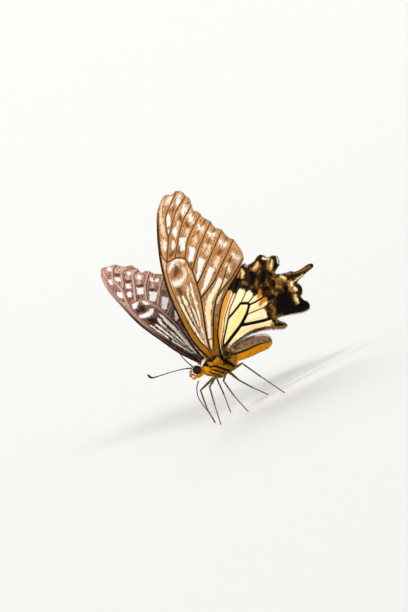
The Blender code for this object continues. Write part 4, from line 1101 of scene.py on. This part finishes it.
fore_fringe = hair_finish("forewing_fringe", base=(216, 164, 114), grey=(190, 140, 100),
                          orange=(226, 158, 20), cream=(250, 226, 192), black=(60, 34, 14),
                          dusk=(120, 78, 30))
hind_fringe = hair_finish("hindwing_fringe", base=(60, 38, 16), grey=(40, 26, 14), orange=(126, 90, 32),
                          cream=(250, 222, 168), black=(12, 7, 4), dusk=(60, 40, 14))
for number, (wing, (at, _, edge), fields, stand, slot) in enumerate(wings):
    is_hind = slot == "hindwing_scales"
    near = fields["rim"] < NEAR_RIM
    way = np.tile((1.0, 0.25), (len(at), 1))
    way[near] = rim_direction(at[near] * 0.999 + at.mean(axis=0) * 0.001, edge)
    root = np.clip(1.2 - np.linalg.norm(at - (-0.8, 0.4), axis=1) / 2.4, 0, 1)
    inner_edge = near & (at[:, 0] < 3.4) & (at[:, 1] > 2.0) & is_hind
    upper_inner = inner_edge & (at[:, 1] < 18)
    tail = (at[:, 0] > 12) & (at[:, 1] > 27.5) & is_hind
    hem = (fields["rim"] < ON_RIM) & ((fields["costa"] < 0.5) | (root > 0))
    thick = np.where(upper_inner, 0.6, np.where(hem, 1.0, 0.5 * root))
    long = np.where(inner_edge, np.where(upper_inner, 1.0, 0.6), np.where(hem, 0.4, 0.45 + 0.4 * root))
    long = np.where(tail, 0.15, long)
    lies = [(stand(at + 0.1 * way, lifted) - stand(at, 0.0)) / (0.1 * MM) for lifted in (0.025, -0.025)]
    under = np.repeat((1.0, 0.0), len(at))
    hem, root, warm, vein, span = (np.tile(values, 2) for values in (
        hem * 1.0, root, np.where(inner_edge, 0.3, root - 0.1), fields["vein"], at[:, 0]))
    pale = np.tile(fields["lunule"] + 0.35, 2) if is_hind else 0.05 - np.abs(np.sin(span * 2.6)) * 0.3
    bed = wing.copy()
    for spare in list(fields):
        bed.attributes.remove(bed.attributes[spare])
    bed.uv_layers["plan"].name = "flank"
    coat_bed(bed, np.vstack(lies), thick=np.tile(thick, 2), tuft=np.tile(long, 2),
             orange=np.where(hem > 0, np.where(warm > 0, warm, -0.5), warm * under),
             black=np.maximum((vein + 0.08) * hem - (1 - hem),
                              np.maximum((root - 0.3) * (1 - under), -1.0 - span)),
             cream=np.where(root > 0, -1.0, pale) * hem - (1 - hem), grey=hem * 0.2 - 0.1, dusk=-1.0)
    grow("fringe_" + wing.name.split(".")[0], bed, hind_fringe if is_hind else fore_fringe, slot,
         per_mm2=110, length=1.0, width=0.075, stray=0.18, seed=40 + number)

# Eyes: dark glossy domes of tiny facets, each set in a ring of short pale scales.
EYE_AT = (1.20, -8.0, 0.7)
EYE_RADIUS = 1.27
EYE_ROWS = 54
EYE_SIDES = 88
RING_SIDES = 64
RING_BANDS = ((-0.12, 1.0), (-0.26, 0.98), (-0.42, 0.92))

f = Finish("eye")
facet = f.node("ShaderNodeTexVoronoi", None, {"Vector": f.at, "Scale": 22.0}, out="Distance")
cloud = f.noise(1.4, 1.0)
f.colour = f.mix((cloud * 3.0 - 1.6).edge(1.0), (5, 4, 5), (22, 14, 11))
eye_finish = f.worn(1.0, 1.0 - facet, height=0.004, strength=0.4, roughness=0.12 + 0.08 * cloud,
                    gloss=0.16)
polar = np.linspace(0, math.pi, EYE_ROWS + 2)[1:-1, None]
turn_at = np.arange(EYE_SIDES)[None, :] * 2 * math.pi / EYE_SIDES
dome = np.vstack([grid(np.cos(polar), np.sin(polar) * np.cos(turn_at), np.sin(polar) * np.sin(turn_at)),
                  (1, 0, 0), (-1, 0, 0)]) * EYE_RADIUS
around = np.arange(RING_SIDES) * 2 * math.pi / RING_SIDES
for side_name, side in (("left", 1), ("right", -1)):
    middle = np.array((side * EYE_AT[0], EYE_AT[1], EYE_AT[2]))
    faces = net(EYE_ROWS, EYE_SIDES, mirrored=True)
    mesh = solid("eye_" + side_name, placed(dome + middle), faces, eye_finish)
    show("compound_eye_" + side_name, mesh, "eye", "eye_" + side_name)
    outward = np.vstack([grid(side * c, s * np.cos(around), s * np.sin(around)) for c, s in RING_BANDS])
    outward *= EYE_RADIUS
    faces = [face[::side] for face in net(3, RING_SIDES)[:2 * RING_SIDES]]
    band = solid("eye_ring_" + side_name, placed(outward + middle), faces)
    ring_lie = np.array((-side * 0.2, 0.25, 0.0)) + 0.35 * outward + np.cross(outward, (side, 0, 0)) * 0.6
    coat_bed(band, ring_lie @ AXES.T, cream=1.0)
    row, turn = np.divmod(corners_of(band), RING_SIDES)
    lay_flat(band, "flank", np.stack([0.9 + 0.02 * row, 0.1 + turn / 640], 1))
    grow("eye_ring_" + side_name, band, hair, "body_hair", per_mm2=170, length=0.3, width=0.06,
         stray=0.25, seed=20 + side)

# Feelers, palps and tongue: tubes along a path. The antennae are ringed and end in clubs, the palps are
# covered in orange hair, and the tongue is a fine double tube that ends just above the floor.
ANTENNAE = {
    "left": [(0.5, -8.3, 2.1, 0.22), (1.6, -9.8, 3.6, 0.16), (3.2, -11.4, 5.3, 0.14),
        (5.6, -13.2, 7.6, 0.15), (7.6, -14.6, 9.2, 0.22), (8.4, -15.1, 9.9, 0.36),
        (8.85, -15.25, 10.35, 0.3), (9, -15.3, 10.6, 0.08)],
    "right": [(-0.5, -8.3, 2.1, 0.22), (-1.7, -10.2, 2.9, 0.16), (-3.4, -12.4, 3.6, 0.14),
        (-5.4, -14.9, 4.2, 0.15), (-7, -17, 4.7, 0.22), (-7.6, -17.6, 5.3, 0.36), (-7.85, -17.75, 6, 0.3),
        (-7.9, -17.8, 6.4, 0.08)],
}
PALP = [
    (0.5, -8.5, -1.25, 0.16), (0.55, -9.1, -1.05, 0.2), (0.58, -9.6, -0.4, 0.18), (0.56, -9.75, 0.25, 0.1),
]
PROBOSCIS = [
    (0.3, -8.4, 13.2, 0.2), (0.7, -9.9, 11.9, 0.18), (0.9, -10.9, 9.8, 0.16), (0.5, -10.6, 7.4, 0.15),
    (0.2, -9.8, 4.6, 0.14), (0.1, -9.2, 2.2, 0.13), (0.1, -9, 0.5, 0.1),
]
ANTENNA_RING = 0.42
TONGUE_RING = 0.2
PALP_SIDES = 20


def tube(path, sides):
    """Rings round a path of (x, y, z, radius), closed to a point at each end, and the length at each."""
    rows = np.asarray(path)
    middle = rows[:, :3]
    along = np.gradient(middle, axis=0)
    along /= np.linalg.norm(along, axis=1)[:, None]
    across = np.cross(along[0], (0.3, 0.2, 1.0))
    frames = []
    for heading in along:
        across = across - heading * (across @ heading)
        across /= np.linalg.norm(across)
        frames.append((across, np.cross(heading, across)))
    frames = np.array(frames)
    spin = (np.arange(sides) * 2 * math.pi / sides)[:, None, None]
    out = np.cos(spin) * frames[None, :, 0] + np.sin(spin) * frames[None, :, 1]
    ring = (middle[None] + out * rows[None, :, 3:4]).transpose(1, 0, 2).reshape(-1, 3)
    tips = (middle[0] - along[0] * rows[0, 3] * 0.3, middle[-1] + along[-1] * rows[-1, 3] * 0.3)
    length = length_along(middle)
    lengths = np.append(np.repeat(length, sides), [0, length[-1]])
    return np.vstack([ring, *tips]), net(len(rows), sides), lengths


def joined_tubes(name, paths, sides, place, finish):
    """One mesh of several tubes, with the length along each kept on its vertices."""
    points, faces, lengths = [], [], []
    for path in paths:
        ring, sheet, length = tube(path, sides)
        first = sum(map(len, points))
        faces += [tuple(v + first for v in face) for face in sheet]
        points.append(ring)
        lengths.append(length)
    mesh = solid(name, place(np.vstack(points)), faces, finish)
    paint_fields(mesh, {"length": np.concatenate(lengths)})
    return mesh


def ringed(path, spacing, pitch, nick):
    """A path in fine steps, with its radius drawn in at each joint."""
    run = smooth_run(path, spacing)
    near = np.abs((length_along(run[:, :3]) / pitch + 0.5) % 1 - 0.5) * pitch
    run[:, 3] *= 1 - nick * np.exp(-(near / (0.12 * pitch)) ** 2)
    return run


def horn_finish(name, main, second, dark, pitch, rough):
    """Horn of feelers, tongue or legs: two browns in clouds, with a dark line at each joint."""
    f = Finish(name)
    fine = f.noise(9.0)
    length = f.field("length")
    joint = length.math('PINGPONG', length, pitch / 2)
    f.colour = f.mix((f.noise(0.8, 3.0) * 2.4 - 1.0).edge(1.0), main, second)
    f.cover((0.08 * pitch - joint).edge(0.1 * pitch), dark)
    return f.worn(0.75 + 0.5 * fine, fine, height=0.02, strength=0.6, roughness=rough + 0.15 * fine,
                  gloss=0.15)


def over_floor(points):
    """Points over the spot of floor under the thorax, to the frame."""
    return (np.asarray(points) + (THORAX[0], THORAX[1], 0)) * MM


antenna_horn = horn_finish("antenna_horn", (30, 22, 14), (58, 46, 24), (10, 7, 5),
                           pitch=ANTENNA_RING, rough=0.4)
for side_name, side in (("left", 1), ("right", -1)):
    path = ringed(ANTENNAE[side_name], 0.07, pitch=ANTENNA_RING, nick=0.22)
    mesh = joined_tubes("antenna_" + side_name, [path], 16, placed, antenna_horn)
    show("ringed_antenna_" + side_name, mesh, "dark_horn", "antenna_" + side_name)
    path = ringed([(side * x, y, z, r) for x, y, z, r in PALP], 0.06, pitch=0.9, nick=0.2)
    mesh = joined_tubes("palp_" + side_name, [path], PALP_SIDES, placed, hair)
    rise = np.array([v.co.z - mesh.vertices[0].co.z for v in mesh.vertices]) / MM
    lie = np.tile(np.array((side * 0.15, -0.7, 0.75)) @ AXES.T, (len(rise), 1))
    coat_bed(mesh, lie, orange=0.5 - rise, black=rise - 1.6, cream=np.minimum(rise - 0.6, 0.9 - rise) * 2)
    corner = corners_of(mesh)
    ends = np.array([item.value for item in mesh.attributes["length"].data])
    lay_flat(mesh, "flank", np.stack([0.8 + ends[corner] / UNWRAP_SIZE,
                                      0.1 + corner % PALP_SIDES * 0.004], 1))
    show("palp_core_" + side_name, mesh, "body_hair", "palp_" + side_name)
    grow("palp_hair_" + side_name, mesh.copy(), hair, "body_hair", per_mm2=170, length=0.36,
         width=0.045, stray=0.3, seed=30 + side)
tongue = ringed(PROBOSCIS, 0.08, pitch=TONGUE_RING, nick=0.12)
halves = [np.column_stack([tongue[:, 0] + q * tongue[:, 3], tongue[:, 1:3], tongue[:, 3] * 0.72])
          for q in (-0.5, 0.5)]
tongue_horn = horn_finish("tongue_horn", (66, 44, 22), (96, 70, 36), (28, 18, 10),
                          pitch=TONGUE_RING, rough=0.3)
mesh = joined_tubes("proboscis", halves, 12, over_floor, tongue_horn)
show("double_tongue", mesh, "dark_horn", "proboscis")

# Legs: thigh, shin with two spurs, and a foot of five joints with a pair of claws, clouded brown with
# fine dark rings. The feet stand on the floor. Each leg is its hip, knee, ankle and foot's end.
LEGS = {
    "fore_left": [(1.7, -3.4, 12.4), (5, -8.5, 10.7), (5.3, -9.6, 5.7), (6, -10.8, 0)],
    "fore_right": [(-0.6, -3.5, 11.9), (-4.2, -6.8, 10.2), (-4.9, -7, 5.2), (-6, -6.1, 0)],
    "mid_left": [(2.2, -0.4, 12.1), (5.5, -4, 10.4), (7.2, -3.9, 5.6), (9.2, -3, 0)],
    "mid_right": [(-1, -0.5, 11.3), (-6.2, 0.5, 11.2), (-9, 1.9, 5.8), (-12, 3, 0)],
    "hind_left": [(2.1, 2.3, 11.9), (7.5, 2.6, 12.6), (9, 5.4, 7), (10.5, 9.3, 0)],
    "hind_right": [(-0.9, 2.3, 11.2), (-4.6, 5.9, 7.7), (-6.1, 9.6, 4), (-8, 14.2, 0)],
}
THIGH = ((0, 0.46), (0.2, 0.42), (0.25, 0.3), (0.3, 0.38), (0.6, 0.36), (0.93, 0.26), (1.0, 0.28))
SHIN = ((0, 0.26), (0.06, 0.2), (0.2, 0.25), (0.85, 0.22), (1.0, 0.25))
FOOT_JOINTS = ((0, 0.42), (0.42, 0.6), (0.6, 0.74), (0.74, 0.86), (0.86, 0.965))
leg_horn = horn_finish("leg_horn", (124, 92, 30), (80, 66, 20), (66, 50, 18), pitch=1.0, rough=0.45)


def between(a, b, parts):
    """A path from one place to another through (share of the way, radius)."""
    return [(*(a + (b - a) * t), r) for t, r in parts]


for leg_name, spots in LEGS.items():
    hip, knee, ankle, foot = np.array(spots, float)
    heading = (foot - ankle) / np.linalg.norm(foot - ankle)
    flat = np.array((heading[0], heading[1], 0.0)) / np.linalg.norm(heading[:2])
    sideways = np.array((-flat[1], flat[0], 0.0))
    spurs = [between(ankle, ankle + (foot - ankle) * 0.16 + np.array((0.25 * q, 0.12, 0.1)),
                     ((0, 0.06), (0.5, 0.05), (1.0, 0.015))) for q in (-1, 1)]
    parts = []
    for start, end in FOOT_JOINTS:
        parts += [(start + 0.01, 0.145), (end - 0.03, 0.16), (end, 0.185 if end < 0.9 else 0.15)]
    pad = [(*(foot - heading * 0.25), 0.12), (*(foot + (0, 0, 0.1)), 0.1)]
    claws = [smooth_run([(*(foot - heading * 0.2), 0.07),
                         (*(foot + flat * 0.12 + sideways * 0.12 * q + (0, 0, 0.14)), 0.06),
                         (*(foot + flat * 0.3 + sideways * 0.2 * q + (0, 0, 0.03)), 0.02)], 0.05)
             for q in (-1, 1)]
    for piece, node, sides, paths in (
            ("thigh_", "femur_", 18, [smooth_run(between(hip, knee, THIGH), 0.12)]),
            ("shin_", "tibia_", 16, [smooth_run(between(knee, ankle, SHIN), 0.12)] + spurs),
            ("toes_", "tarsus_", 14, [smooth_run(between(ankle, foot, parts), 0.08), pad] + claws)):
        mesh = joined_tubes(node + leg_name, paths, sides, over_floor, leg_horn)
        show(piece + leg_name, mesh, "leg_horn", node + leg_name)

# Setting: a pale floor that sweeps up all round, a soft lamp above and behind the viewer, and weaker
# ones at the upper left and behind the animal. The camera looks along the photograph's line, rolled so
# that the animal lies in the picture as it does there.
AZIMUTH = math.radians(62.08)
ELEVATION = math.radians(3.0)
ROLL = math.radians(25.0)
DISTANCE = 0.90
IMAGE = (408, 612)
FOCAL = 3204
THORAX_PIXEL = (220, 365)
SENSOR = 36.0

back = Vector((math.sin(AZIMUTH) * math.cos(ELEVATION), -math.cos(AZIMUTH) * math.cos(ELEVATION),
               math.sin(ELEVATION)))
level = Vector((math.cos(AZIMUTH), math.sin(AZIMUTH), 0))
raised = back.cross(level)
right = level * math.cos(ROLL) - raised * math.sin(ROLL)
up = level * math.sin(ROLL) + raised * math.cos(ROLL)
lens = bpy.data.cameras.new("camera")
lens.sensor_width = SENSOR
lens.lens = SENSOR * FOCAL / IMAGE[1]
lens.clip_start = 0.05
lens.clip_end = 50.0
shift = (right * (THORAX_PIXEL[0] - IMAGE[0] / 2) - up * (THORAX_PIXEL[1] - IMAGE[1] / 2)) * DISTANCE / FOCAL
stand_at = Matrix.Translation(Vector(THORAX * MM) - shift + back * DISTANCE)
camera = bpy.data.objects.new("camera", lens)
camera.matrix_world = stand_at @ Matrix((right, up, back)).transposed().to_4x4()
bpy.context.scene.collection.objects.link(camera)
bpy.context.scene.camera = camera

FLOOR_FLAT = 0.45
FLOOR_REACH = 4.0
SPOKES = 96
RINGS = 60
reach = np.linspace(0.15, FLOOR_REACH, RINGS)[:, None]
spokes = np.arange(SPOKES) * 2 * math.pi / SPOKES
floor_points = np.vstack([grid(reach * np.cos(spokes), reach * np.sin(spokes),
                               0.1 * np.maximum(0.0, reach - FLOOR_FLAT) ** 2), (0, 0, 0)])
f = Finish("floor_paper")
shader = f.tree.nodes["Principled BSDF"].inputs
f.put(shader["Base Color"], f.mix(f.noise(0.4), (228, 227, 223), (233, 232, 228)))
f.put(shader["Roughness"], 0.9)
floor = bpy.data.objects.new("floor", solid("floor", floor_points, net(RINGS, SPOKES)[:-SPOKES], f.material))
bpy.context.scene.collection.objects.link(floor)
floor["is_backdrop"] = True


def lamp(name, towards, softness, strength):
    """A large soft lamp far off, so that the floor is lit evenly."""
    light = bpy.data.lights.new(name, 'SUN')
    light.angle = math.radians(softness)
    light.energy = strength
    ob = bpy.data.objects.new(name, light)
    ob.rotation_mode = 'QUATERNION'
    ob.rotation_quaternion = Vector(towards).to_track_quat('Z', 'Y')
    bpy.context.scene.collection.objects.link(ob)


lamp("key_lamp", (0.95, -0.25, 0.45), 20, 1.9)
lamp("top_lamp", back * 0.6 - level * 0.6 + Vector((0, 0, 0.9)), 14, 1.0)
lamp("back_lamp", (-0.8, 0.3, 0.6), 40, 1.2)
world = bpy.data.worlds.new("studio")
world.use_nodes = True
sky = world.node_tree.nodes["Background"].inputs
sky["Color"].default_value = (0.95, 0.97, 1.0, 1)
sky["Strength"].default_value = 0.42
bpy.context.scene.world = world
bpy.context.scene.view_settings.view_transform = 'Standard'

visual_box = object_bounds()
sizes = {"cad": [list(corner) for corner in cad_box], "visual": [list(corner) for corner in visual_box]}
